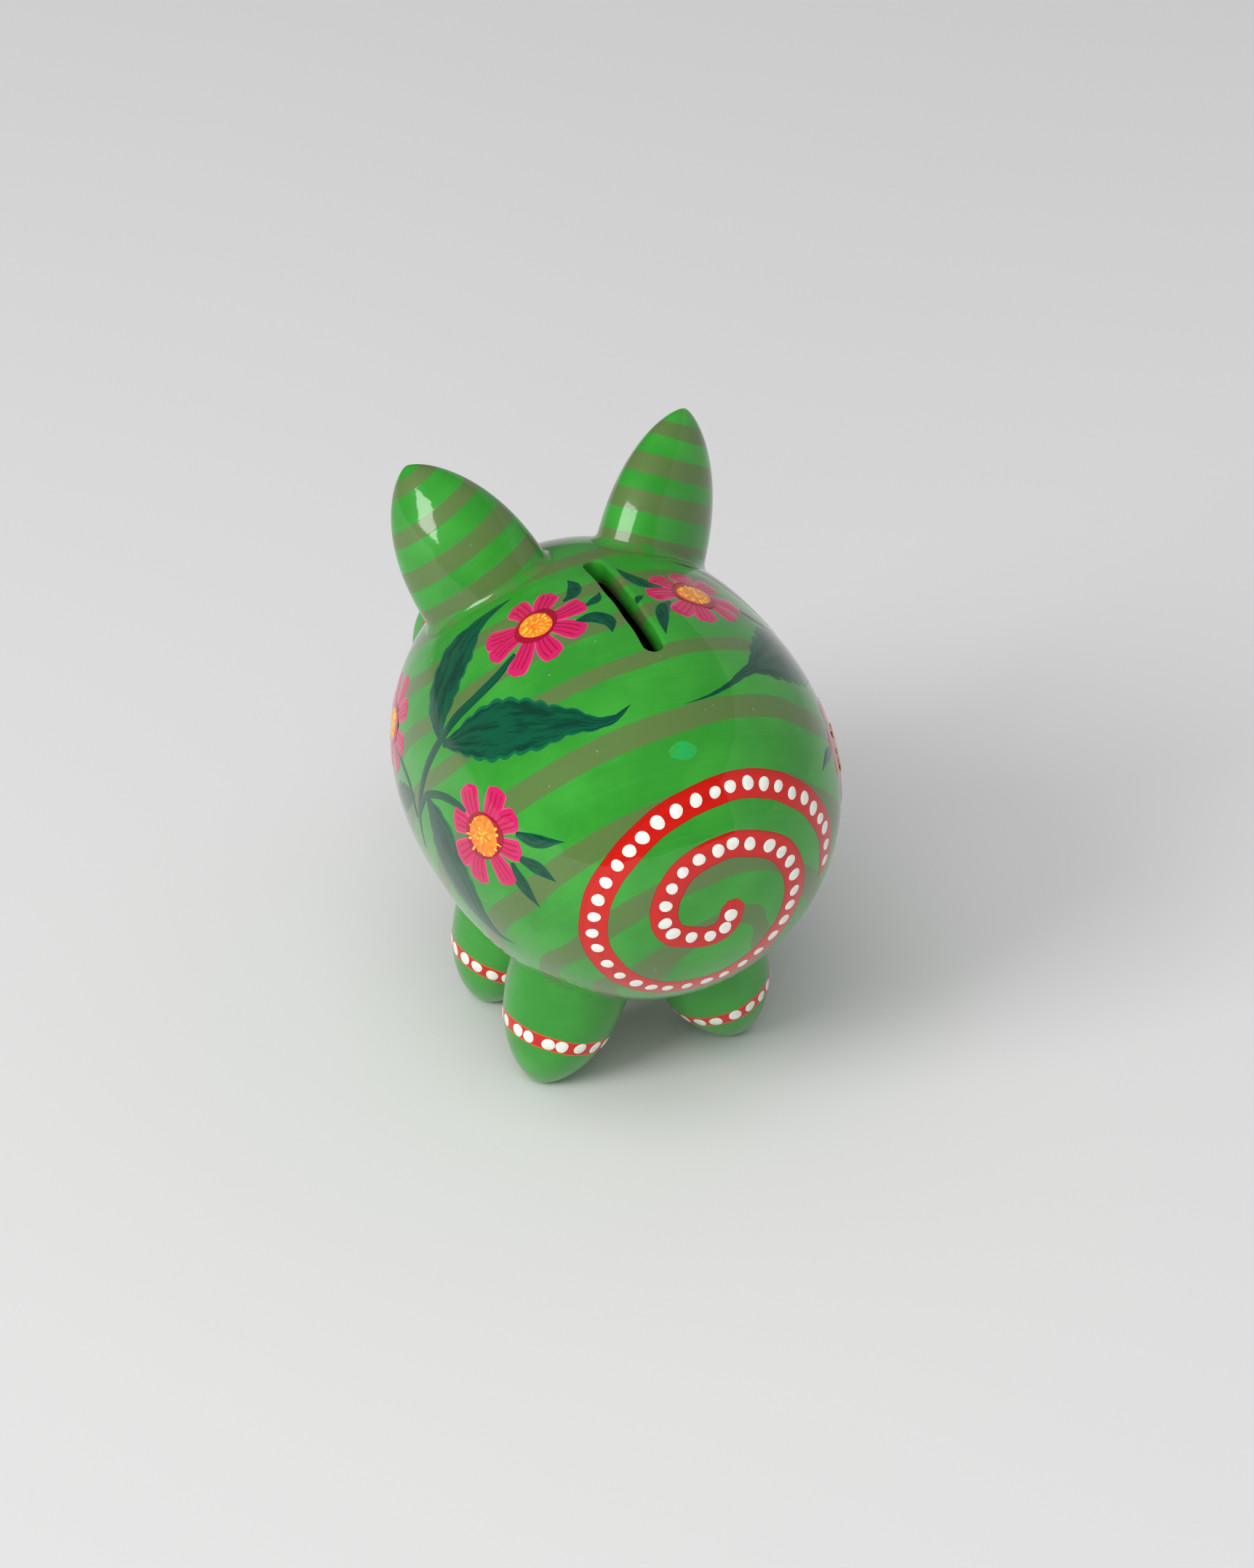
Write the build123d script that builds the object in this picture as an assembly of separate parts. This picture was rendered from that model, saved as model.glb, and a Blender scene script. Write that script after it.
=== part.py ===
"""Pig-shaped money box of turned wood, in millimetres.

The pig looks along -Y, its left side is +X and +Z is up. The origin lies on the
floor, under the middle of the overall length. The hollow body is two turned half
shells on a stepped glue joint. The ears and legs are coped to the body and held by
dowels. The snout is the stopper: its tenon is a push fit in the front shell.
"""
from build123d import *
from math import cos, pi, sin
import os

# Body: an egg of revolution about Y, (r / radius)^n + (y / half length)^n = 1
BODY_RADIUS = 50.0
BODY_HALF_LENGTH = 60.2
BODY_EXPONENT = 2.4
AXIS_HEIGHT = 75.0  # body axis above the floor
WALL = 6.0

# Stepped joint between the shells, midway between the front and rear legs
SEAM_Y = -2.7  # from the body's centre
LAP_LENGTH = 5.0
GLUE_GAP = 0.05

# Coin slot along the back
SLOT_LENGTH = 40.0
SLOT_WIDTH = 5.0
SLOT_Y = 5.8  # its middle, from the body's centre

# Ears: bullets of elliptical section, from a root inside the wall to the tip
EAR_ROOT = (20.5, -26.7, 37.7)  # from the body's centre, left ear
EAR_TIP = (35.9, -40.2, 69.45)
EAR_HALF_WIDTH = 16.8
EAR_HALF_THICKNESS = 10.8
EAR_TURN = -26.4  # degrees from +X to the wide side
EAR_EXPONENTS = (2.32, 1.45)

# Legs: round bullets that splay outwards; the floor cuts a small flat on each tip
LEG_ROOT = (14.7, 15.8, -39.7)  # from the body's centre, fore and aft of the seam
LEG_TIP = (27.0, 18.6, -75.9)
LEG_RADIUS = 15.3
LEG_EXPONENTS = (2.95, 1.46)

# Dowels of the ears and legs
DOWEL_RADIUS = 3.0
DOWEL_DEPTH = 13.0  # into the ear or leg, from the body's surface

# Snout and its tenon, along Y
SNOUT_RADIUS = 21.0
SNOUT_DROP = 7.0  # below the body's axis
SNOUT_FRONT = 83.0  # front face, from the body's centre
SNOUT_ROUNDING = 2.5
SNOUT_GAP = 0.3  # between the coped shoulder and the body
TENON_RADIUS = 16.0
TENON_CLEARANCE = 0.05
TENON_END = 46.0  # inner end, from the body's centre
TENON_CHAMFER = 1.0
NOSTRIL_RADIUS = 2.5
NOSTRIL_DEPTH = 7.0
NOSTRIL_SPACING = 15.0

CENTRE = Vector(0, (SNOUT_FRONT - BODY_HALF_LENGTH) / 2, AXIS_HEIGHT)
FAR = 200.0  # larger than the whole object


def egg(growth: float) -> Solid:
    """The body's outer shape, grown by this much all over, about its centre."""
    steps = 24
    points = []
    for step in range(steps + 1):
        angle = pi * step / steps
        lengthwise = abs(cos(angle)) ** (2 / BODY_EXPONENT) * (1 if step < steps / 2 else -1)
        radial = sin(angle) ** (2 / BODY_EXPONENT) if 0 < step < steps else 0.0
        points.append(((BODY_RADIUS + growth) * radial, (BODY_HALF_LENGTH + growth) * lengthwise))
    outline = Spline(*points, tangents=[(1, 0), (-1, 0)])
    axis_line = Line(points[-1], points[0])
    return Pos(CENTRE) * revolve(make_face([outline, axis_line]), Axis.Y, 360)


def bullet(length: float, radius: float, exponents: tuple) -> Solid:
    """A bullet about +Z from a flat root at z = 0, with r = radius (1 - t^m)^(1/k)."""
    m, k = exponents
    steps = 14
    points = []
    for step in range(steps + 1):
        t = 1 - (1 - step / steps) ** 1.6
        points.append((radius * (1 - t**m) ** (1 / k), length * t))
    flank = Spline(*points, tangents=[(0, 1), (-1, 0)])
    root = Line((0, 0), points[0])
    axis_line = Line(points[-1], (0, 0))
    profile = make_face([root, flank, axis_line])
    return revolve(Plane.XZ * profile, Axis.Z, 360)


def along_y(radius: float, start: float, end: float, drop: float = 0.0) -> Solid:
    """A cylinder along Y between two distances from the body's centre."""
    middle = CENTRE + Vector(0, (start + end) / 2, -drop)
    return Pos(middle) * Rot(90, 0, 0) * Cylinder(radius, abs(end - start))


def seat(root: tuple, tip: tuple, turn: float = 0.0) -> Plane:
    """A plane at the root of an ear or leg, with Z towards its tip."""
    wide = Vector(cos(turn * pi / 180), sin(turn * pi / 180), 0)
    direction = Vector(*tip) - Vector(*root)
    side = direction.cross(wide)
    return Plane(origin=CENTRE + Vector(*root), x_dir=side.cross(direction), z_dir=direction)


def surface_distance(plane: Plane, solid: Solid) -> float:
    """How far along the plane's normal the solid's surface lies."""
    ray = Edge.make_line(plane.origin, plane.origin + plane.z_dir * FAR)
    return (ray & solid).edge().length


def limb(plane: Plane, shape: Solid) -> tuple:
    """An ear or leg coped to the body, its dowel and the dowel's hole."""
    outer = surface_distance(plane, BODY)
    below = Plane(origin=plane.origin - plane.z_dir * WALL, z_dir=plane.z_dir)
    inner = surface_distance(below, CAVITY) - WALL
    length = outer + DOWEL_DEPTH - inner
    middle = plane * Pos(0, 0, inner + length / 2)
    dowel = middle * Cylinder(DOWEL_RADIUS, length)
    hole = middle * Cylinder(DOWEL_RADIUS + GLUE_GAP, length + 2 * GLUE_GAP)
    floor = Pos(0, 0, -FAR / 2) * Box(FAR, FAR, FAR)
    piece = plane * shape - BODY - floor - hole
    through = plane * Cylinder(DOWEL_RADIUS + GLUE_GAP, FAR / 4)
    return piece, dowel, through


def make_ears(side: int) -> tuple:
    """The ear on this side, its dowel and the dowel's hole."""
    root = (side * EAR_ROOT[0], EAR_ROOT[1], EAR_ROOT[2])
    tip = (side * EAR_TIP[0], EAR_TIP[1], EAR_TIP[2])
    plane = seat(root, tip, side * EAR_TURN)
    length = (Vector(*EAR_TIP) - Vector(*EAR_ROOT)).length
    round_bullet = bullet(length, EAR_HALF_THICKNESS, EAR_EXPONENTS)
    shape = scale(round_bullet, by=(EAR_HALF_WIDTH / EAR_HALF_THICKNESS, 1, 1))
    return limb(plane, shape)


def make_leg(side: int, end: int) -> tuple:
    """The leg on this side and end (-1 front, 1 rear), its dowel and the dowel's hole."""
    root = (side * LEG_ROOT[0], SEAM_Y + end * LEG_ROOT[1], LEG_ROOT[2])
    tip = (side * LEG_TIP[0], SEAM_Y + end * LEG_TIP[1], LEG_TIP[2])
    length = (Vector(*LEG_TIP) - Vector(*LEG_ROOT)).length
    return limb(seat(root, tip), bullet(length, LEG_RADIUS, LEG_EXPONENTS))


def make_snout() -> Solid:
    """The snout with its tenon, coped to clear the body, and two drilled nostrils."""
    block = along_y(SNOUT_RADIUS, -SNOUT_FRONT, 0, SNOUT_DROP)
    rim = block.edges().sort_by(Axis.Y)[0]
    block = fillet(rim, SNOUT_ROUNDING) - egg(SNOUT_GAP)
    tenon = along_y(TENON_RADIUS, 1 - BODY_HALF_LENGTH, -TENON_END, SNOUT_DROP)
    tenon = chamfer(tenon.edges().sort_by(Axis.Y)[-1], TENON_CHAMFER)
    core = along_y(TENON_RADIUS, -BODY_HALF_LENGTH - SNOUT_ROUNDING, -TENON_END - 2, SNOUT_DROP)
    snout = block + core + tenon
    for side in (-1, 1):
        drill = along_y(NOSTRIL_RADIUS, -SNOUT_FRONT - 1, NOSTRIL_DEPTH - SNOUT_FRONT, SNOUT_DROP)
        snout -= Pos(side * NOSTRIL_SPACING / 2, 0, 0) * drill
    return snout


def make_shells(holes: list) -> tuple:
    """The front and rear half shells, with the slot, the snout's bore and the holes."""
    shell = BODY - CAVITY
    slot = Pos(0, CENTRE.Y + SLOT_Y, CENTRE.Z) * extrude(
        SlotOverall(SLOT_LENGTH, SLOT_WIDTH, rotation=90), BODY_RADIUS * 2
    )
    bore = along_y(TENON_RADIUS + TENON_CLEARANCE, -SNOUT_FRONT, -TENON_END / 2, SNOUT_DROP)
    shell = shell - slot - bore
    for hole in holes:
        shell -= hole
    step_radius = BODY_RADIUS - WALL / 2
    front_part = Pos(0, CENTRE.Y + SEAM_Y - FAR / 2, CENTRE.Z) * Box(FAR, FAR, FAR)
    tongue = along_y(step_radius - GLUE_GAP, SEAM_Y - 1, SEAM_Y + LAP_LENGTH)
    recess = along_y(step_radius, SEAM_Y - 1, SEAM_Y + LAP_LENGTH + GLUE_GAP)
    return shell & (front_part + tongue), shell - front_part - recess


BODY = egg(0)
CAVITY = egg(-WALL)

nodes = {}
dowel_holes = []
for side, side_name in ((1, "left"), (-1, "right")):
    ear, dowel, hole = make_ears(side)
    nodes[f"ear_{side_name}"] = ear
    nodes[f"ear_dowel_{side_name}"] = dowel
    dowel_holes.append(hole)
    for end, end_name in ((-1, "front"), (1, "rear")):
        leg, dowel, hole = make_leg(side, end)
        nodes[f"leg_{end_name}_{side_name}"] = leg
        nodes[f"leg_dowel_{end_name}_{side_name}"] = dowel
        dowel_holes.append(hole)
nodes["snout"] = make_snout()
nodes["body_front"], nodes["body_rear"] = make_shells(dowel_holes)

os.makedirs("parts", exist_ok=True)
for name, shape in nodes.items():
    export_step(shape, f"parts/{name}.step")
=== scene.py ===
"""The looks of a hand-painted wooden money box in the shape of a pig.

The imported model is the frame. Its shells, ears, legs and snout get finer pieces with
rounded edges and filler beads, and the painted decoration is laid over them as thin
films of paint. Lengths are in millimetres in the classes and in metres in the meshes.
"""

import logging
from dataclasses import dataclass, field
from enum import Enum
from math import cos, degrees, pi, radians, sin, tau
from typing import Callable, Optional, Protocol, Sequence

import bpy
import numpy as np
from mathutils import Matrix, Vector


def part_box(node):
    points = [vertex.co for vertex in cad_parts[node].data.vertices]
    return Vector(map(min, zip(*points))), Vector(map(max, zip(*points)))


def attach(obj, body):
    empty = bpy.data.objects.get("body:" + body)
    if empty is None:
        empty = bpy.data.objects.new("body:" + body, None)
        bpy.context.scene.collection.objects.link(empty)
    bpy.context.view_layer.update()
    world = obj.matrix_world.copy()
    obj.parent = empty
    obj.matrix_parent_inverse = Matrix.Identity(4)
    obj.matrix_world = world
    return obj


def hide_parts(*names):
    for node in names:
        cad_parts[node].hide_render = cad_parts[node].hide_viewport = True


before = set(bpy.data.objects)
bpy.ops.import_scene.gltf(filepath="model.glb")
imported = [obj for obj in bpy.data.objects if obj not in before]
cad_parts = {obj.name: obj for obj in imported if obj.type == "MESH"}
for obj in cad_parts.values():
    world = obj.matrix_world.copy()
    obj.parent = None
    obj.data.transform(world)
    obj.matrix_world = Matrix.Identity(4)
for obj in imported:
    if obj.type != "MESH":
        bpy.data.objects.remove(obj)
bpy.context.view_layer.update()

log = logging.getLogger("pig")
MM = 0.001
MERGE = 0.004 * MM  # points closer than this are one point
Line = tuple[tuple[float, float, float], ...]  # x, y and half width along a stroke
BODY_NAME = "pig"
STOPPER_NAME = "stopper"
PAINT_THICKNESS = 0.2  # of a film, in millimetres
SEAT_REACH = 8.0  # from a limb's root towards the skin, in millimetres
BODY_HALF_LENGTH = 60.2
HOOP_AXIS = (0.0, 0.8557, -0.5175)  # the body's hoops lean back from its axis


# --------------------------------------------------------------------- mesh helpers


def deselect() -> None:
    """Leaves object mode with nothing selected."""
    if bpy.context.object and bpy.context.object.mode != "OBJECT":
        bpy.ops.object.mode_set(mode="OBJECT")
    bpy.ops.object.select_all(action="DESELECT")


def choose(obj: bpy.types.Object) -> None:
    """Makes one object the only selected and the active one.

    Args:
        obj: the object.
    """
    deselect()
    obj.select_set(True)
    bpy.context.view_layer.objects.active = obj


def named(name: str) -> bpy.types.Object:
    """Names the object that an operator has just added, and its mesh.

    Args:
        name: the piece's name.

    Returns:
        The object.
    """
    obj = bpy.context.object
    obj.name = name
    obj.data.name = name
    return obj


def read_points(obj: bpy.types.Object) -> np.ndarray:
    """The mesh's points as rows of three numbers, in the mesh's own units.

    Args:
        obj: the mesh.

    Returns:
        A row for each point.
    """
    flat = np.empty(len(obj.data.vertices) * 3, np.float32)
    obj.data.vertices.foreach_get("co", flat)
    return flat.reshape(-1, 3).astype(float)


def write_points(obj: bpy.types.Object, points: np.ndarray) -> None:
    """Moves the mesh's points to the given rows of three numbers."""
    obj.data.vertices.foreach_set("co", points.astype(np.float32).ravel())
    obj.data.update()


def grid(name: str, along: int, across: int) -> bpy.types.Object:
    """A flat unit grid with a UV map, centred on the origin.

    Args:
        name: the piece's name.
        along: faces along X.
        across: faces along Y.

    Returns:
        The grid's object.
    """
    deselect()
    bpy.ops.mesh.primitive_grid_add(x_subdivisions=along, y_subdivisions=across, size=1, calc_uvs=True)
    return named(name)


def tidy(obj: bpy.types.Object, outward: bool = True) -> None:
    """Merges doubled points, drops faces of no area and points the faces outwards.

    Args:
        obj: the mesh.
        outward: whether the faces are turned outwards.
    """
    choose(obj)
    bpy.ops.object.mode_set(mode="EDIT")
    bpy.ops.mesh.select_all(action="SELECT")
    bpy.ops.mesh.remove_doubles(threshold=MERGE)
    bpy.ops.mesh.dissolve_degenerate(threshold=MERGE)
    if outward:
        bpy.ops.mesh.normals_make_consistent(inside=False)
    bpy.ops.object.mode_set(mode="OBJECT")


def smooth(obj: bpy.types.Object, angle: float = 40.0) -> None:
    """Shades a mesh smooth, but sharp at edges that turn by more than the angle in degrees."""
    choose(obj)
    bpy.ops.object.shade_smooth_by_angle(angle=radians(angle), keep_sharp_edges=False)


def solidify(obj: bpy.types.Object, thickness: float) -> None:
    """Gives a film its thickness, downwards from its upper side, in millimetres.

    Args:
        obj: the film.
        thickness: its thickness.
    """
    choose(obj)
    bpy.ops.object.modifier_add(type="SOLIDIFY")
    wall = obj.modifiers[-1]
    wall.thickness = thickness * MM
    wall.offset = -1
    bpy.ops.object.modifier_apply(modifier=wall.name)


def cut(obj: bpy.types.Object, tool: bpy.types.Object, operation: str) -> None:
    """Applies a boolean with a tool, which stays in the scene.

    Args:
        obj: the mesh that is cut.
        tool: the cutting mesh.
        operation: DIFFERENCE or INTERSECT.
    """
    choose(obj)
    bpy.ops.object.modifier_add(type="BOOLEAN")
    boolean = obj.modifiers[-1]
    boolean.operation = operation
    boolean.solver = "EXACT"
    boolean.object = tool
    bpy.ops.object.modifier_apply(modifier=boolean.name)


def remove(obj: bpy.types.Object) -> None:
    """Deletes a helper object and its mesh.

    Args:
        obj: the helper.
    """
    mesh = obj.data
    bpy.data.objects.remove(obj)
    bpy.data.meshes.remove(mesh)


def twin(obj: bpy.types.Object, name: str) -> bpy.types.Object:
    """A copy of an object with its own mesh.

    Args:
        obj: the object to copy.
        name: the copy's name.

    Returns:
        The copy.
    """
    copy = obj.copy()
    copy.data = obj.data.copy()
    copy.name = name
    copy.data.name = name
    bpy.context.scene.collection.objects.link(copy)
    return copy


def joined(parts: Sequence[bpy.types.Object], name: str) -> bpy.types.Object:
    """Joins meshes into one piece under a name.

    Args:
        parts: the meshes.
        name: the piece's name.

    Returns:
        The piece.
    """
    choose(parts[0])
    for part in parts[1:]:
        part.select_set(True)
    if len(parts) > 1:
        bpy.ops.object.join()
    return named(name)


def peg(name: str, middle: Sequence[float], radius: float, depth: float, faces: int,
        turn: Sequence[float] = (pi / 2, 0, 0)) -> bpy.types.Object:
    """A cylinder, along Y unless it is turned another way.

    Args:
        name: its name.
        middle: its centre in millimetres, as are its sizes.
        radius: its radius.
        depth: its length.
        faces: faces round it.
        turn: its rotation from upright.

    Returns:
        The cylinder's object, at the origin and unturned.
    """
    deselect()
    bpy.ops.mesh.primitive_cylinder_add(vertices=faces, radius=radius * MM, depth=depth * MM,
                                        location=Vector(middle) * MM, rotation=turn)
    bpy.ops.object.transform_apply(location=True, rotation=True, scale=True)
    return named(name)


def face_centres(obj: bpy.types.Object) -> np.ndarray:
    """The centres of the mesh's faces.

    Args:
        obj: the mesh.

    Returns:
        A row for each face, in the mesh's own units.
    """
    flat = np.empty(len(obj.data.polygons) * 3, np.float32)
    obj.data.polygons.foreach_get("center", flat)
    return flat.reshape(-1, 3)


def finish_piece(obj: bpy.types.Object, body: str, *materials: bpy.types.Material) -> None:
    """Dresses a piece, lets it ride on a body and reports it.

    Args:
        obj: the finished piece.
        body: the name of the body that it moves with.
        materials: its materials, in the order of its slots.
    """
    obj.data.materials.clear()
    for material in materials:
        obj.data.materials.append(material)
    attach(obj, body)
    log.info("%s: %d faces", obj.name, len(obj.data.polygons))


# ------------------------------------------------------------------------- surfaces


class Sheet(Protocol):
    """A flat sheet of paint that can be laid on the object."""

    def lay(self, flat: np.ndarray) -> np.ndarray:
        """Takes rows of (x, y, height) on the sheet to points in the object's frame, in mm."""


@dataclass
class Skin:
    """The body's outer surface: an egg of revolution about Y."""

    centre: np.ndarray
    radius: float
    half_length: float
    exponent: float = 2.4
    wall: float = 6.0
    _y: np.ndarray = field(init=False)
    _r: np.ndarray = field(init=False)
    _arc: np.ndarray = field(init=False)

    def __post_init__(self) -> None:
        """Measures the skin's profile from pole to pole."""
        turn = np.linspace(-pi / 2, pi / 2, 8001)
        power = 2 / self.exponent
        self._y = self.half_length * np.abs(np.sin(turn)) ** power * np.sign(turn)
        self._r = self.radius * np.maximum(np.cos(turn), 0) ** power
        self._r[[0, -1]] = 0
        steps = np.hypot(np.diff(self._y), np.diff(self._r))
        self._arc = np.concatenate(([0.0], np.cumsum(steps)))
        self._arc -= self._arc[-1] / 2

    @property
    def half_arc(self) -> float:
        """The distance along the skin from the middle to a pole."""
        return float(self._arc[-1])

    def level(self, points: np.ndarray) -> np.ndarray:
        """Zero on the skin, negative inside it and positive outside.

        Args:
            points: rows of points in millimetres.

        Returns:
            A number for each point.
        """
        p = points - self.centre
        ring = np.hypot(p[..., 0], p[..., 2]) / self.radius
        return ring**self.exponent + (np.abs(p[..., 1]) / self.half_length) ** self.exponent - 1

    def normal(self, points: np.ndarray) -> np.ndarray:
        """The outward normal at points on or near the skin.

        Args:
            points: rows of points in millimetres.

        Returns:
            A unit row for each point.
        """
        p = points - self.centre
        n = self.exponent
        ring = np.maximum(np.hypot(p[..., 0], p[..., 2]), 1e-6)
        pull = (ring / self.radius) ** (n - 1) / self.radius / ring
        end = (np.abs(p[..., 1]) / self.half_length) ** (n - 1) / self.half_length * np.sign(p[..., 1])
        out = np.stack([pull * p[..., 0], end, pull * p[..., 2]], -1)
        return out / np.maximum(np.linalg.norm(out, axis=-1, keepdims=True), 1e-9)

    def place(self, angle: np.ndarray, arc: np.ndarray, height: np.ndarray) -> np.ndarray:
        """Points at an angle from the top, an arc distance from the middle and a height.

        Args:
            angle: from the top towards the pig's left, in radians.
            arc: along the skin, towards the rump.
            height: over the skin.

        Returns:
            A row for each point.
        """
        y = np.interp(arc, self._arc, self._y)
        r = np.interp(arc, self._arc, self._r)
        points = self.centre + np.stack([r * np.sin(angle), y, r * np.cos(angle)], -1)
        return points + self.normal(points) * height[..., None]

    def dropped(self, points: np.ndarray) -> np.ndarray:
        """The points moved onto the skin along its normal.

        Args:
            points: rows of points in millimetres.

        Returns:
            The points on the skin.
        """
        for _ in range(6):
            step = 0.01
            normal = self.normal(points)
            slope = (self.level(points + normal * step) - self.level(points - normal * step)) / (2 * step)
            points = points - normal * (self.level(points) / slope)[..., None]
        return points


@dataclass(frozen=True)
class BackSheet:
    """A sheet wrapped round the body: x is round it to the pig's left, y along it to the rump."""

    skin: Skin

    def lay(self, flat: np.ndarray) -> np.ndarray:
        """Lays the sheet's points on the object."""
        return self.skin.place(flat[:, 0] / self.skin.radius, flat[:, 1], flat[:, 2])


@dataclass(frozen=True)
class EndSheet:
    """A sheet laid on one end: x is to the pig's left and y is up, both from the pole."""

    skin: Skin
    end: int  # 1 at the rump, -1 at the face

    def lay(self, flat: np.ndarray) -> np.ndarray:
        """Lays the sheet's points on the object.

        Args:
            flat: rows of (x, y, height) on the sheet.

        Returns:
            Rows of points in the object's frame, in millimetres.
        """
        angle = np.arctan2(flat[:, 0], flat[:, 1])
        reach = np.hypot(flat[:, 0], flat[:, 1])
        return self.skin.place(angle, self.end * (self.skin.half_arc - reach), flat[:, 2])


@dataclass(frozen=True)
class Bullet:
    """An ear's or a leg's surface: a bullet of elliptical section from a root to a tip."""

    root: np.ndarray
    tip: np.ndarray
    half_width: float
    half_thickness: float
    turn: float  # degrees from +X to the wide side
    bluntness: float
    fullness: float

    @property
    def length(self) -> float:
        """The distance from the root to the tip."""
        return float(np.linalg.norm(self.tip - self.root))

    @property
    def axis(self) -> np.ndarray:
        """The direction from the root to the tip."""
        return (self.tip - self.root) / self.length

    def sides(self) -> tuple[np.ndarray, np.ndarray]:
        """The directions of the wide and the thin side.

        Returns:
            Two unit directions.
        """
        wide = np.array([cos(radians(self.turn)), sin(radians(self.turn)), 0.0])
        wide -= self.axis * (wide @ self.axis)
        wide /= np.linalg.norm(wide)
        return wide, np.cross(self.axis, wide)

    def point(self, angle: np.ndarray, along: np.ndarray) -> np.ndarray:
        """Points at an angle round the axis and a part of the way along it.

        Args:
            angle: from the wide side, in radians.
            along: from 0 at the root to 1 at the tip.

        Returns:
            A row for each point.
        """
        wide, thin = self.sides()
        reach = np.maximum(1 - np.maximum(along, 0) ** self.bluntness, 0) ** (1 / self.fullness)
        across = (self.half_width * reach * np.cos(angle))[..., None] * wide
        across = across + (self.half_thickness * reach * np.sin(angle))[..., None] * thin
        return self.root + self.axis * (self.length * along)[..., None] + across

    def normal(self, angle: np.ndarray, along: np.ndarray) -> np.ndarray:
        """Outward normals at the same points.

        Args:
            angle: as for the points.
            along: as for the points.

        Returns:
            A unit row for each point.
        """
        step = 1e-3
        round_it = self.point(angle + step, along) - self.point(angle - step, along)
        along_it = self.point(angle, np.minimum(along + step, 0.9995)) - self.point(angle, along - step)
        out = np.cross(round_it, along_it)
        return out / np.maximum(np.linalg.norm(out, axis=-1, keepdims=True), 1e-12)

    def junction(self, skin: Skin, angle: np.ndarray) -> np.ndarray:
        """How far along the surface leaves the skin, at each angle.

        Args:
            skin: the body's outer surface.
            angle: round the axis, in radians.

        Returns:
            A part of the way along for each angle.
        """
        low = np.zeros_like(angle)
        high = np.full_like(angle, 0.9)
        for _ in range(40):
            middle = (low + high) / 2
            inside = skin.level(self.point(angle, middle)) < 0
            low = np.where(inside, middle, low)
            high = np.where(inside, high, middle)
        return (low + high) / 2


@dataclass(frozen=True)
class BarrelSheet:
    """A sheet wound round the snout: x is round it and y is millimetres back from its face."""

    middle: np.ndarray  # centre of the snout's front face
    radius: float
    turn: float = 1.0  # degrees in each step of x

    def lay(self, flat: np.ndarray) -> np.ndarray:
        """Lays the sheet's points on the object.

        Args:
            flat: rows of (x, y, height) on the sheet.

        Returns:
            Rows of points in the object's frame, in millimetres.
        """
        angle = np.radians(flat[:, 0] * self.turn)
        reach = self.radius + flat[:, 2]
        return self.middle + np.stack([reach * np.sin(angle), flat[:, 1], reach * np.cos(angle)], -1)


# ------------------------------------------------------------------------ materials


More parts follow.
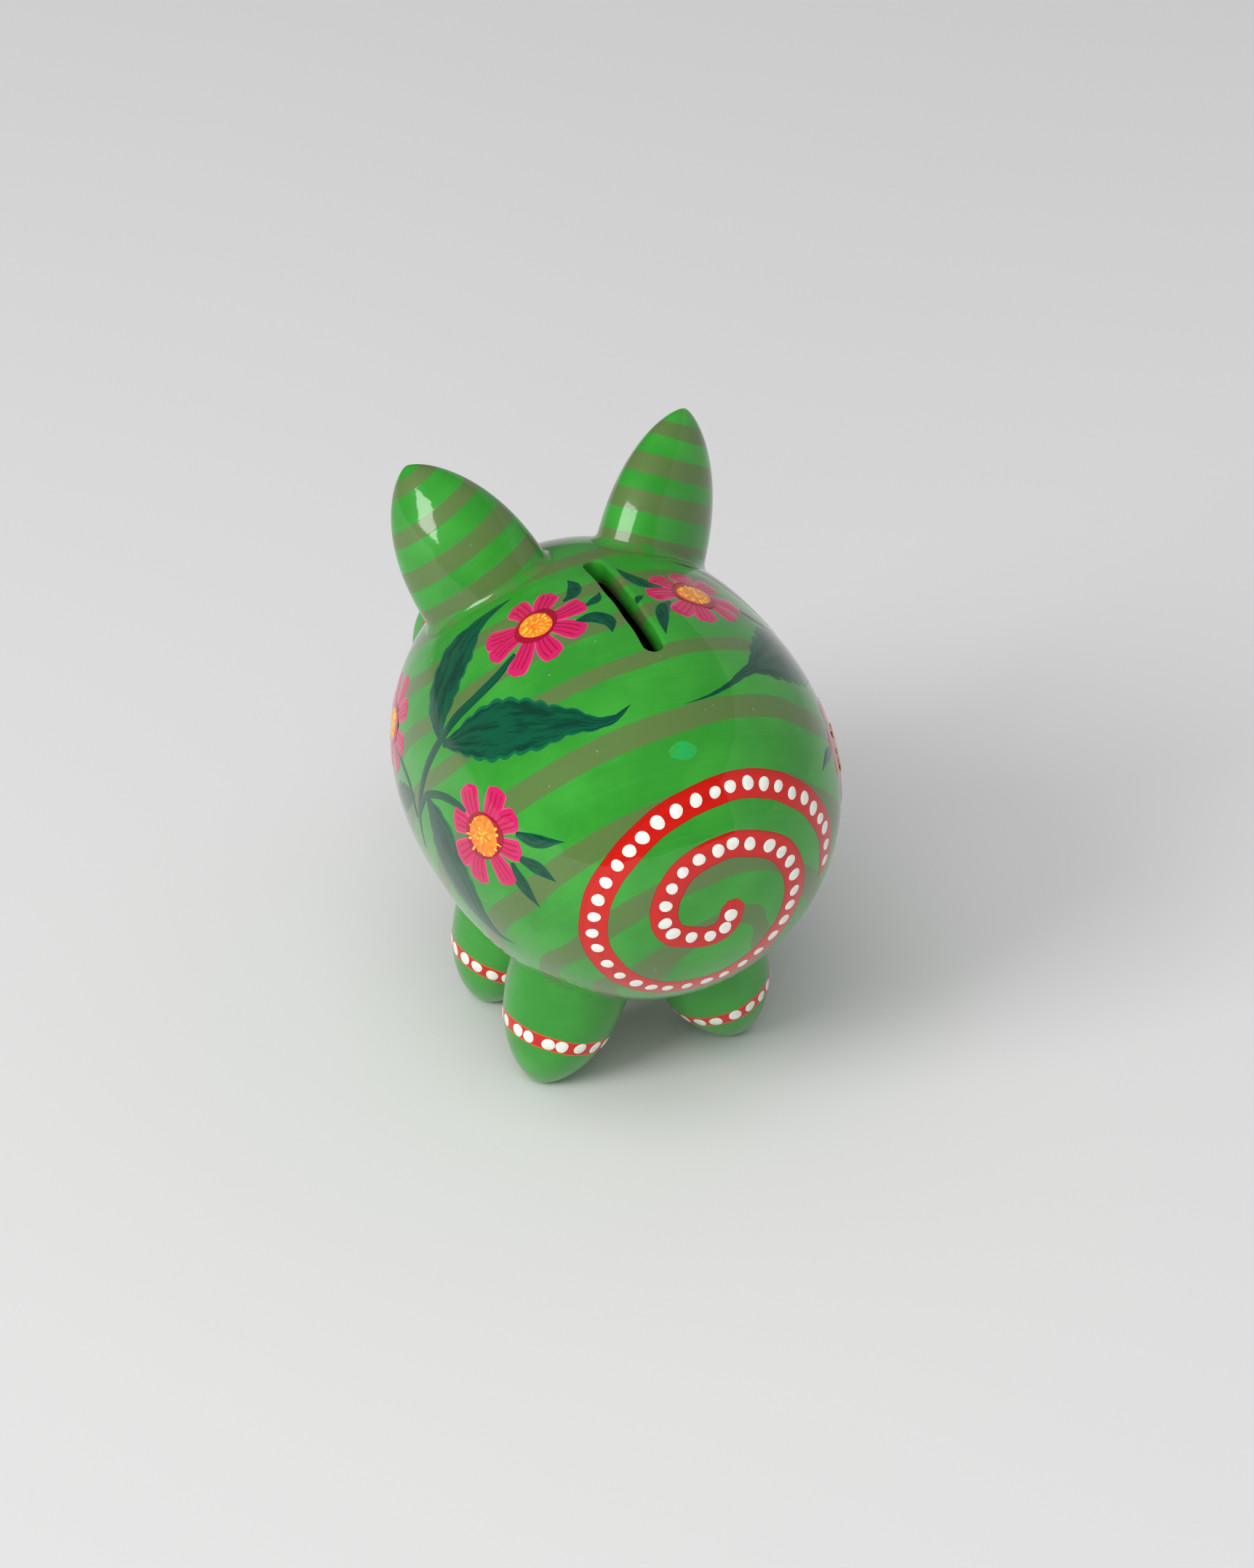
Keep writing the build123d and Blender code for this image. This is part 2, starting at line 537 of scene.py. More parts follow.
class Recipe:
    """A material that is being mixed from nodes."""

    def __init__(self, name: str) -> None:
        """Starts an empty material.

        Args:
            name: the material's name.
        """
        self.material = bpy.data.materials.new(name)
        self.material.use_nodes = True
        self.tree = self.material.node_tree
        self.tree.nodes.clear()

    def node(self, kind: str, settings: Optional[dict] = None, **inputs: object) -> bpy.types.Node:
        """Adds a node.

        Args:
            kind: the node's type, without the leading ShaderNode.
            settings: properties of the node itself.
            inputs: values or sockets for its inputs; i0, i1 ... name them by place.

        Returns:
            The node.
        """
        made = self.tree.nodes.new("ShaderNode" + kind)
        for key, value in (settings or {}).items():
            setattr(made, key, value)
        for key, value in inputs.items():
            place = int(key[1:]) if key[0] == "i" and key[1:].isdigit() else key.replace("_", " ")
            socket = made.inputs[place]
            if isinstance(value, bpy.types.NodeSocket):
                self.tree.links.new(value, socket)
            else:
                socket.default_value = value
        return made

    def math(self, operation: str, *values: object) -> bpy.types.NodeSocket:
        """The result of a Math node on one to three values or sockets."""
        inputs = {f"i{place}": value for place, value in enumerate(values)}
        return self.node("Math", {"operation": operation}, **inputs).outputs[0]

    def weighted(self, *terms: tuple[object, float]) -> bpy.types.NodeSocket:
        """A sum in which each value is first multiplied by its weight.

        Args:
            terms: pairs of a value and its weight.

        Returns:
            The sum.
        """
        parts = [self.math("MULTIPLY", value, weight) for value, weight in terms]
        total = parts[0]
        for part in parts[1:]:
            total = self.math("ADD", total, part)
        return total

    def ramp(self, value: bpy.types.NodeSocket, low: float, high: float,
             start: float = 0.0, end: float = 1.0) -> bpy.types.NodeSocket:
        """A smooth step from start at low to end at high.

        Args:
            value: what is measured.
            low: where the step starts.
            high: where it ends.
            start: the result up to low.
            end: the result from high.

        Returns:
            The step.
        """
        made = self.node("MapRange", {"interpolation_type": "SMOOTHSTEP"}, i0=value, i1=low, i2=high,
                         i3=start, i4=end)
        return made.outputs[0]

    def mix(self, factor: object, first: object, second: object) -> bpy.types.NodeSocket:
        """A blend of two colours."""
        made = self.node("Mix", {"data_type": "RGBA"}, i0=factor, i6=first, i7=second)
        return made.outputs[2]

    def noise(self, vector: bpy.types.NodeSocket, scale: float, detail: float = 2.0,
              roughness: float = 0.5) -> bpy.types.NodeSocket:
        """A noise value from 0 to 1."""
        made = self.node("TexNoise", Vector=vector, Scale=scale, Detail=detail, Roughness=roughness)
        return made.outputs[0]

    def place(self, centre: np.ndarray) -> bpy.types.NodeSocket:
        """Object coordinates in millimetres, measured from a centre.

        Args:
            centre: the centre.

        Returns:
            The coordinates.
        """
        coordinates = self.node("TexCoord").outputs["Object"]
        shift = tuple(-float(value) for value in centre)
        scaled = self.node("Mapping", Vector=coordinates, Location=shift, Scale=(1 / MM, 1 / MM, 1 / MM))
        return scaled.outputs[0]

    def along(self, vector: bpy.types.NodeSocket, direction: Sequence[float]) -> bpy.types.NodeSocket:
        """The distance along a direction."""
        made = self.node("VectorMath", {"operation": "DOT_PRODUCT"}, i0=vector, i1=tuple(direction))
        return made.outputs["Value"]

    def varnished(self, colour: object, relief: bpy.types.NodeSocket, gloss: "Gloss") -> bpy.types.Material:
        """Ends the material as paint under varnish.

        Args:
            colour: the paint's colour.
            relief: the paint's relief in millimetres.
            gloss: how the paint and the varnish shine.

        Returns:
            The finished material.
        """
        vector = self.place(np.zeros(3))
        bump = self.node("Bump", Strength=1.0, Distance=MM, Height=relief).outputs[0]
        broad, fine = self.noise(vector, 0.16, 2.0), self.noise(vector, 0.9, 2.0)
        film = self.weighted((relief, 0.35), (broad, gloss.ripple), (fine, gloss.grain))
        coat = self.node("Bump", Strength=1.0, Distance=MM, Height=film).outputs[0]
        shader = self.node("BsdfPrincipled", Base_Color=colour, Roughness=gloss.paint, Normal=bump,
                           Coat_Weight=gloss.varnish, Coat_Roughness=gloss.varnish_roughness,
                           Coat_IOR=gloss.varnish_index, Coat_Normal=coat)
        shader.inputs["Specular IOR Level"].default_value = gloss.paint_shine
        self.node("OutputMaterial", Surface=shader.outputs[0])
        return self.material


@dataclass(frozen=True)
class Gloss:
    """How paint and the varnish over it shine."""

    paint: float = 0.42
    paint_shine: float = 0.12
    varnish: float = 1.0
    varnish_roughness: float = 0.035
    varnish_index: float = 1.44
    ripple: float = 0.05  # broad relief of the varnish in millimetres
    grain: float = 0.001  # fine relief of the varnish in millimetres


def srgb(red: int, green: int, blue: int) -> tuple[float, float, float, float]:
    """A colour in linear light from its 0 to 255 values.

    Args:
        red: from 0 to 255.
        green: from 0 to 255.
        blue: from 0 to 255.

    Returns:
        Red, green, blue and alpha.
    """
    channels = [value / 255 for value in (red, green, blue)]
    linear = [v / 12.92 if v <= 0.04045 else ((v + 0.055) / 1.055) ** 2.4 for v in channels]
    return (linear[0], linear[1], linear[2], 1.0)


class Colour(Enum):
    """The paints on the painter's table."""

    GREEN = srgb(58, 158, 52)
    DEEP_GREEN = srgb(46, 142, 42)
    OLIVE = srgb(92, 116, 64)
    RED = srgb(205, 26, 16)
    DEEP_RED = srgb(165, 14, 10)
    WHITE = srgb(246, 246, 240)
    CREAM = srgb(234, 235, 224)
    PINK = srgb(204, 28, 98)
    PALE_PINK = srgb(238, 104, 140)
    MAGENTA = srgb(188, 0, 80)
    CRIMSON = srgb(168, 0, 50)
    WINE = srgb(150, 0, 40)
    ORANGE = srgb(242, 146, 44)
    AMBER = srgb(232, 110, 22)
    YELLOW = srgb(250, 214, 62)
    TEAL = srgb(1, 84, 56)
    DARK_TEAL = srgb(0, 50, 38)
    LEAF_EDGE = srgb(8, 112, 70)
    SMEAR = srgb(18, 172, 88)
    BLACK = srgb(18, 16, 16)
    ROSE = srgb(232, 128, 120)
    BARE = srgb(190, 150, 104)
    GRAIN = srgb(146, 104, 66)


@dataclass(frozen=True)
class Hoop:
    """An olive hoop painted round a part."""

    middle: float  # along the hoops' axis, in mm
    half_width: float


@dataclass(frozen=True)
class GroundPaint:
    """The green ground with olive hoops, brushed round the part and varnished."""

    name: str
    centre: np.ndarray
    axis: tuple[float, float, float]
    hoops: tuple[Hoop, ...]
    sway: tuple[tuple[float, float], ...] = ()  # (turns round the axis, shift in mm)
    wobble: float = 1.0
    gloss: Gloss = Gloss()

    def mixed(self) -> bpy.types.Material:
        """Mixes the material.

        Returns:
            The material.
        """
        recipe = Recipe(self.name)
        vector = recipe.place(self.centre)
        distance = recipe.along(vector, self.axis)
        broad = recipe.noise(vector, 0.028, 1.0)
        fine = recipe.noise(vector, 0.5, 3.0)
        shift = recipe.math("MULTIPLY", recipe.math("SUBTRACT", broad, 0.5), 3.2 * self.wobble)
        ragged = recipe.math("MULTIPLY", recipe.math("SUBTRACT", fine, 0.5), 0.35)
        reading = recipe.math("ADD", recipe.math("ADD", distance, shift), ragged)
        if self.sway:
            reading = recipe.math("SUBTRACT", reading, self.swayed(recipe, vector))
        mask = None
        for hoop in self.hoops:
            away = recipe.math("ABSOLUTE", recipe.math("SUBTRACT", reading, hoop.middle))
            band = recipe.ramp(away, hoop.half_width - 0.14, hoop.half_width + 0.14, 1.0, 0.0)
            mask = band if mask is None else recipe.math("MAXIMUM", mask, band)
        streaks = self.brushed(recipe, vector, distance)
        patches = recipe.noise(vector, 0.06, 3.0)
        tone = recipe.weighted((streaks, 0.2), (patches, 0.8))
        green = recipe.mix(recipe.ramp(tone, 0.36, 0.66), Colour.DEEP_GREEN.value, Colour.GREEN.value)
        colour = green
        if mask is not None:
            cover = recipe.math("MULTIPLY", mask, recipe.ramp(tone, 0.2, 0.8, 0.97, 0.86))
            colour = recipe.mix(cover, green, Colour.OLIVE.value)
        specks = recipe.node("TexVoronoi", {"feature": "F1"}, Vector=vector, Scale=0.16).outputs["Distance"]
        speck_and_glint = recipe.ramp(specks, 0.035, 0.05, 1.0, 0.0)
        # Painted glint: each tiny raised speck is lightened towards cream; its bump in the relief below is real.
        colour = recipe.mix(recipe.math("MULTIPLY", speck_and_glint, 0.16), colour, Colour.CREAM.value)
        relief = recipe.weighted((streaks, 0.008), (speck_and_glint, 0.05), (recipe.noise(vector, 1.6, 2.0), 0.006))
        if mask is not None:
            relief = recipe.math("ADD", relief, recipe.math("MULTIPLY", mask, 0.02))
        return recipe.varnished(colour, relief, self.gloss)

    def brushed(self, recipe: Recipe, vector: bpy.types.NodeSocket,
                distance: bpy.types.NodeSocket) -> bpy.types.NodeSocket:
        """Fine brush marks that run round the axis.

        Args:
            recipe: the material.
            vector: the place.
            distance: the place along the axis.

        Returns:
            The marks, from 0 to 1.
        """
        across = recipe.math("MULTIPLY", distance, 1.5)
        squeezed = recipe.node("VectorMath", {"operation": "SCALE"}, i0=vector, Scale=0.05).outputs[0]
        line = recipe.node("CombineXYZ", i0=across, i1=0.0, i2=0.0).outputs[0]
        sample = recipe.node("VectorMath", {"operation": "ADD"}, i0=squeezed, i1=line).outputs[0]
        return recipe.noise(sample, 1.0, 3.0, 0.6)

    def swayed(self, recipe: Recipe, vector: bpy.types.NodeSocket) -> bpy.types.NodeSocket:
        """How far the hoops stray from their planes, as the brush went round the axis.

        Args:
            recipe: the material.
            vector: the place.

        Returns:
            The shift in millimetres.
        """
        axis = Vector(self.axis).normalized()
        up = Vector((0, 0, 1)) - axis * axis.z
        up.normalize()
        left = up.cross(axis) if up.cross(axis).x > 0 else axis.cross(up)
        round_it = recipe.math("ARCTAN2", recipe.along(vector, left), recipe.along(vector, up))
        turns = recipe.math("ADD", recipe.math("DIVIDE", round_it, tau), 0.5)
        made = recipe.node("FloatCurve", i1=turns)
        curve = made.mapping.curves[0]
        reach = max(abs(shift) for _, shift in self.sway)
        knots = [(turn, 0.5 + 0.5 * shift / reach) for turn, shift in self.sway]
        curve.points[0].location = knots[0]
        curve.points[1].location = knots[-1]
        for knot in knots[1:-1]:
            curve.points.new(*knot)
        made.mapping.update()
        return recipe.math("MULTIPLY", recipe.math("SUBTRACT", made.outputs[0], 0.5), 2 * reach)


@dataclass(frozen=True)
class StrokePaint:
    """A brush stroke's paint: streaks along the stroke and a paler rim."""

    name: str
    ground: Colour
    streak: Colour
    rim: Colour
    streak_amount: float = 0.8
    streak_count: float = 9.0
    rim_width: float = 0.08  # of the stroke's width
    breaks: float = 1.6  # of the streaks along the stroke
    gloss: Gloss = Gloss()

    def mixed(self) -> bpy.types.Material:
        """Mixes the material from the stroke's own UV map and its tone.

        Returns:
            The material.
        """
        recipe = Recipe(self.name)
        uv = recipe.node("TexCoord").outputs["UV"]
        tone = recipe.node("Attribute", {"attribute_name": "tone"}).outputs["Fac"]
        parts = recipe.node("SeparateXYZ", i0=uv)
        side = recipe.math("ABSOLUTE", recipe.math("SUBTRACT", parts.outputs[1], 0.5))
        across = recipe.math("MULTIPLY", parts.outputs[1], self.streak_count)
        along = recipe.math("MULTIPLY", parts.outputs[0], self.breaks)
        depth = recipe.math("MULTIPLY", tone, 37.0)
        sample = recipe.node("CombineXYZ", i0=along, i1=across, i2=depth).outputs[0]
        streaks = recipe.noise(sample, 1.0, 3.0, 0.55)
        fine = recipe.noise(sample, 3.2, 2.0, 0.6)
        blend = recipe.weighted((streaks, 0.75), (fine, 0.25))
        mask = recipe.math("MULTIPLY", recipe.ramp(blend, 0.42, 0.6), self.streak_amount)
        colour = recipe.mix(mask, self.ground.value, self.streak.value)
        ragged = recipe.math("ADD", side, recipe.math("MULTIPLY", recipe.math("SUBTRACT", blend, 0.5), 0.12))
        edge = recipe.ramp(ragged, 0.5 - self.rim_width, 0.5 - self.rim_width * 0.3, 0.0, 0.75)
        colour = recipe.mix(edge, colour, self.rim.value)
        relief = recipe.math("MULTIPLY", blend, 0.05)
        return recipe.varnished(colour, relief, self.gloss)


@dataclass(frozen=True)
class PetalPaint:
    """A petal: pink, with two or three darker lines drawn from the flower's centre."""

    name: str = "petal_paint"
    gloss: Gloss = Gloss()

    def mixed(self) -> bpy.types.Material:
        """Mixes the material from the petal's own UV map and its tone.

        Returns:
            The material.
        """
        recipe = Recipe(self.name)
        uv = recipe.node("TexCoord").outputs["UV"]
        tone = recipe.node("Attribute", {"attribute_name": "tone"}).outputs["Fac"]
        parts = recipe.node("SeparateXYZ", i0=uv)
        along, across = parts.outputs[0], parts.outputs[1]
        sample = recipe.node("CombineXYZ", i0=recipe.math("MULTIPLY", along, 2.0),
                             i1=recipe.math("MULTIPLY", across, 3.0),
                             i2=recipe.math("MULTIPLY", tone, 53.0)).outputs[0]
        waver = recipe.noise(sample, 1.0, 2.0)
        side = recipe.math("ABSOLUTE", recipe.math("SUBTRACT", across, 0.5))
        heart = recipe.ramp(recipe.weighted((side, 1.0), (waver, 0.12)), 0.34, 0.4, 1.0, 0.0)
        tip = recipe.ramp(recipe.weighted((along, 1.0), (waver, 0.14)), 0.86, 0.95, 1.0, 0.0)
        inner = recipe.math("MULTIPLY", heart, tip)
        bent = recipe.weighted((across, 1.0), (waver, 0.16))
        wave = recipe.math("SINE", recipe.math("MULTIPLY", bent, 4.1 * tau))
        lines = recipe.math("MULTIPLY", recipe.ramp(wave, 0.15, 0.75), inner)
        body = recipe.mix(recipe.ramp(waver, 0.35, 0.7, 0.0, 0.5), Colour.PINK.value, Colour.MAGENTA.value)
        colour = recipe.mix(recipe.math("MULTIPLY", inner, 0.4), Colour.PINK.value, body)
        colour = recipe.mix(recipe.math("MULTIPLY", lines, 0.85), colour, Colour.CRIMSON.value)
        rim = recipe.ramp(recipe.weighted((side, 1.0), (waver, 0.06)), 0.46, 0.52, 0.0, 0.6)
        colour = recipe.mix(rim, colour, Colour.PALE_PINK.value)
        relief = recipe.weighted((lines, 0.05), (waver, 0.04))
        return recipe.varnished(colour, relief, self.gloss)


@dataclass(frozen=True)
class DabPaint:
    """Paint put on in dabs, mottled between two close colours."""

    name: str
    first: Colour
    second: Colour
    grain: float = 0.7  # mottling per millimetre
    gloss: Gloss = Gloss()

    def mixed(self) -> bpy.types.Material:
        """Mixes the material.

        Returns:
            The material.
        """
        recipe = Recipe(self.name)
        vector = recipe.place(np.zeros(3))
        mottle = recipe.noise(vector, self.grain, 3.0, 0.6)
        colour = recipe.mix(recipe.ramp(mottle, 0.35, 0.68), self.first.value, self.second.value)
        relief = recipe.math("MULTIPLY", mottle, 0.05)
        return recipe.varnished(colour, relief, self.gloss)


@dataclass(frozen=True)
class BareWood:
    """Turned wood with no paint, seen inside the body and on the tenon and the dowels."""

    name: str = "bare_wood"

    def mixed(self) -> bpy.types.Material:
        """Mixes the material: streaks drawn out along the body's axis.

        Returns:
            The material.
        """
        recipe = Recipe(self.name)
        vector = recipe.place(np.zeros(3))
        stretched = recipe.node("Mapping", Vector=vector, Scale=(1.0, 0.06, 1.0)).outputs[0]
        streaks = recipe.noise(stretched, 0.7, 4.0, 0.6)
        broad = recipe.noise(vector, 0.05, 2.0)
        grain = recipe.weighted((streaks, 0.7), (broad, 0.3))
        colour = recipe.mix(recipe.ramp(grain, 0.3, 0.75), Colour.BARE.value, Colour.GRAIN.value)
        bump = recipe.node("Bump", Strength=1.0, Distance=MM, Height=recipe.math("MULTIPLY", grain, 0.06))
        shader = recipe.node("BsdfPrincipled", Base_Color=colour, Roughness=0.62, Normal=bump.outputs[0])
        recipe.node("OutputMaterial", Surface=shader.outputs[0])
        return recipe.material


# ---------------------------------------------------------------------- paint films


def smooth_line(knots: Sequence[Sequence[float]], share: np.ndarray) -> np.ndarray:
    """Points on a smooth line through knots whose first two numbers are their place.

    Args:
        knots: rows of numbers; all of them run smoothly along the line.
        share: parts of the line's length, from 0 to 1.

    Returns:
        A row for each share.
    """
    rows = np.array(knots, float)
    steps = np.maximum(np.linalg.norm(np.diff(rows[:, :2], axis=0), axis=1), 1e-6)
    at = np.concatenate(([0.0], np.cumsum(steps)))
    slope = np.gradient(rows, at, axis=0)
    where = share * at[-1]
    index = np.clip(np.searchsorted(at, where, side="right") - 1, 0, len(rows) - 2)
    span = (at[index + 1] - at[index])[:, None]
    f = (where - at[index])[:, None] / span
    ahead = (3 - 2 * f) * f * f
    return (
        (1 - ahead) * rows[index]
        + ahead * rows[index + 1]
        + f * (1 - f) * span * ((1 - f) * slope[index] - f * slope[index + 1])
    )


def settle(obj: bpy.types.Object, flat: np.ndarray, sheet: Sheet) -> None:
    """Lays a flat film on a sheet, with its upper side turned outwards.

    Args:
        obj: the film.
        flat: its points as rows of (x, y, height) on the sheet.
        sheet: where it is laid.
    """
    points = sheet.lay(flat)
    above = sheet.lay(flat + np.array([0.0, 0.0, 1.0]))
    write_points(obj, points * MM)
    widest = max(obj.data.polygons, key=lambda face: face.area)
    corners = list(widest.vertices)
    outward = (above - points)[corners].mean(0)
    if float(np.dot(np.array(widest.normal), outward)) < 0:
        obj.data.flip_normals()


def give_tone(obj: bpy.types.Object, tone: float) -> None:
    """Stores one number on a stroke, so that its paint differs from its neighbours'."""
    attribute = obj.data.attributes.new("tone", "FLOAT", "POINT")
    attribute.data.foreach_set("value", np.full(len(obj.data.vertices), tone, np.float32))


@dataclass(frozen=True)
class Stroke:
    """A brush stroke: rows of (x, y, half width) along its middle line on a sheet."""

    line: Line
    base: float = 0.015  # height of its edges over the ground
    dome: float = 0.06
    facet: float = 1.2
    serration: float = 0.0  # of the half width
    uneven: float = 0.03

    def painted(self, name: str, sheet: Sheet, rng: np.random.Generator) -> bpy.types.Object:
        """Lays the stroke on a sheet as a thin closed film.

        Args:
            name: the stroke's name.
            sheet: where it is laid.
            rng: the source of its unevenness.

        Returns:
            The film's object.
        """
        rows = np.array(self.line)
        length = float(np.linalg.norm(np.diff(rows[:, :2], axis=0), axis=1).sum())
        widest = float(rows[:, 2].max())
        obj = grid(name, max(6, round(length / self.facet)), max(4, round(2 * widest / self.facet)))
        flat = read_points(obj)
        share = flat[:, 0] + 0.5
        side = flat[:, 1] * 2
        line = smooth_line(self.line, share)
        ahead = smooth_line(self.line, np.minimum(share + 0.01, 1.0))[:, :2]
        ahead = ahead - smooth_line(self.line, np.maximum(share - 0.01, 0.0))[:, :2]
        ahead = ahead / np.linalg.norm(ahead, axis=1, keepdims=True)
        phase = rng.uniform(0, tau, 3)
        uneven = np.sin(share * length * 0.5 + phase[0]) + 0.5 * np.sin(share * length * 1.3 + phase[1])
        uneven = uneven * self.uneven
        teeth = self.serration * (np.abs(np.sin(share * length * pi / 4.6 + phase[2])) - 0.6)
        width = np.maximum(line[:, 2], 0) * (1 + (uneven + teeth) * np.abs(side))
        out = side * width
        x = line[:, 0] - ahead[:, 1] * out
        y = line[:, 1] + ahead[:, 0] * out
        crown = (1 - side**2) * np.minimum(1, 1.6 * width / widest)
        flat = np.stack([x, y, self.base + self.dome * crown], 1)
        give_tone(obj, float(rng.random()))
        settle(obj, flat, sheet)
        tidy(obj, outward=False)
        solidify(obj, PAINT_THICKNESS)
        smooth(obj, 60)
        return obj


@dataclass(frozen=True)
class Dot:
    """A drop of paint on a sheet."""

    x: float
    y: float
    radius: float
    height: float
    base: float = 0.0


def drops(name: str, sheet: Sheet, dots: Sequence[Dot], rng: np.random.Generator,
          segments: int = 14, rings: int = 6) -> bpy.types.Object:
    """Drops of paint, modelled once and copied.

    Args:
        name: the piece's name.
        sheet: where the drops are laid.
        dots: their places and sizes.
        rng: the source of their unevenness.
        segments: faces round a drop.
        rings: faces from its top to its underside.

    Returns:
        One object with all the drops.
    """
    deselect()
    bpy.ops.mesh.primitive_uv_sphere_add(segments=segments, ring_count=rings, radius=1)
    drop = named(name + "_drop")
    ball = read_points(drop)
    copies = []
    for number, dot in enumerate(dots):
        copy = twin(drop, f"{name}_{number}")
        round_it = np.arctan2(ball[:, 1], ball[:, 0])
        uneven = 1 + 0.05 * np.sin(2 * round_it + rng.uniform(0, tau))
        uneven = uneven + 0.03 * np.sin(3 * round_it + rng.uniform(0, tau))
        lift = np.where(ball[:, 2] > 0, dot.height * ball[:, 2], 0.15 * ball[:, 2])
        flat = np.stack([
            dot.x + ball[:, 0] * dot.radius * uneven,
            dot.y + ball[:, 1] * dot.radius * uneven,
            dot.base + lift,
        ], 1)
        give_tone(copy, float(rng.random()))
        write_points(copy, sheet.lay(flat) * MM)
        copies.append(copy)
    remove(drop)
    piece = joined(copies, name)
    tidy(piece)
    smooth(piece, 60)
    return piece


def painted_strokes(name: str, sheet: Sheet, strokes: Sequence[Stroke],
                    rng: np.random.Generator) -> bpy.types.Object:
    """Several strokes of one paint as one piece.

    Args:
        name: the piece's name.
        sheet: where they are laid.
        strokes: the strokes, the lowest first.
        rng: the source of their unevenness.

    Returns:
        One object with all the strokes.
    """
    films = [stroke.painted(f"{name}_{number}", sheet, rng) for number, stroke in enumerate(strokes)]
    return joined(films, name)


def mirrored(line: Sequence[tuple[float, float, float]]) -> tuple[tuple[float, float, float], ...]:
    """The same line on the pig's other side."""
    return tuple((-x, y, width) for x, y, width in line)


# --------------------------------------------------------------------- sub-assemblies


@dataclass(frozen=True)
class SlotSizes:
    """The coin slot, in millimetres."""

    width: float = 5.0
    front: float = -14.2  # along the skin from the body's middle
    rear: float = 25.9
    lip: float = 0.75  # radius of its rounded edge
    lip_lean: float = 0.25  # how much rounder the edge is on the pig's right
    margin: float = 4.2  # of the fine mesh round it


@dataclass(frozen=True)
class ShellSizes:
    """The two turned half shells, in millimetres."""

    seam: float = -2.7  # from the body's middle
    lap: float = 5.0
    glue_gap: float = 0.05
    bore_radius: float = 16.05
    bore_drop: float = 7.0
    round_faces: int = 176
    long_faces: int = 101


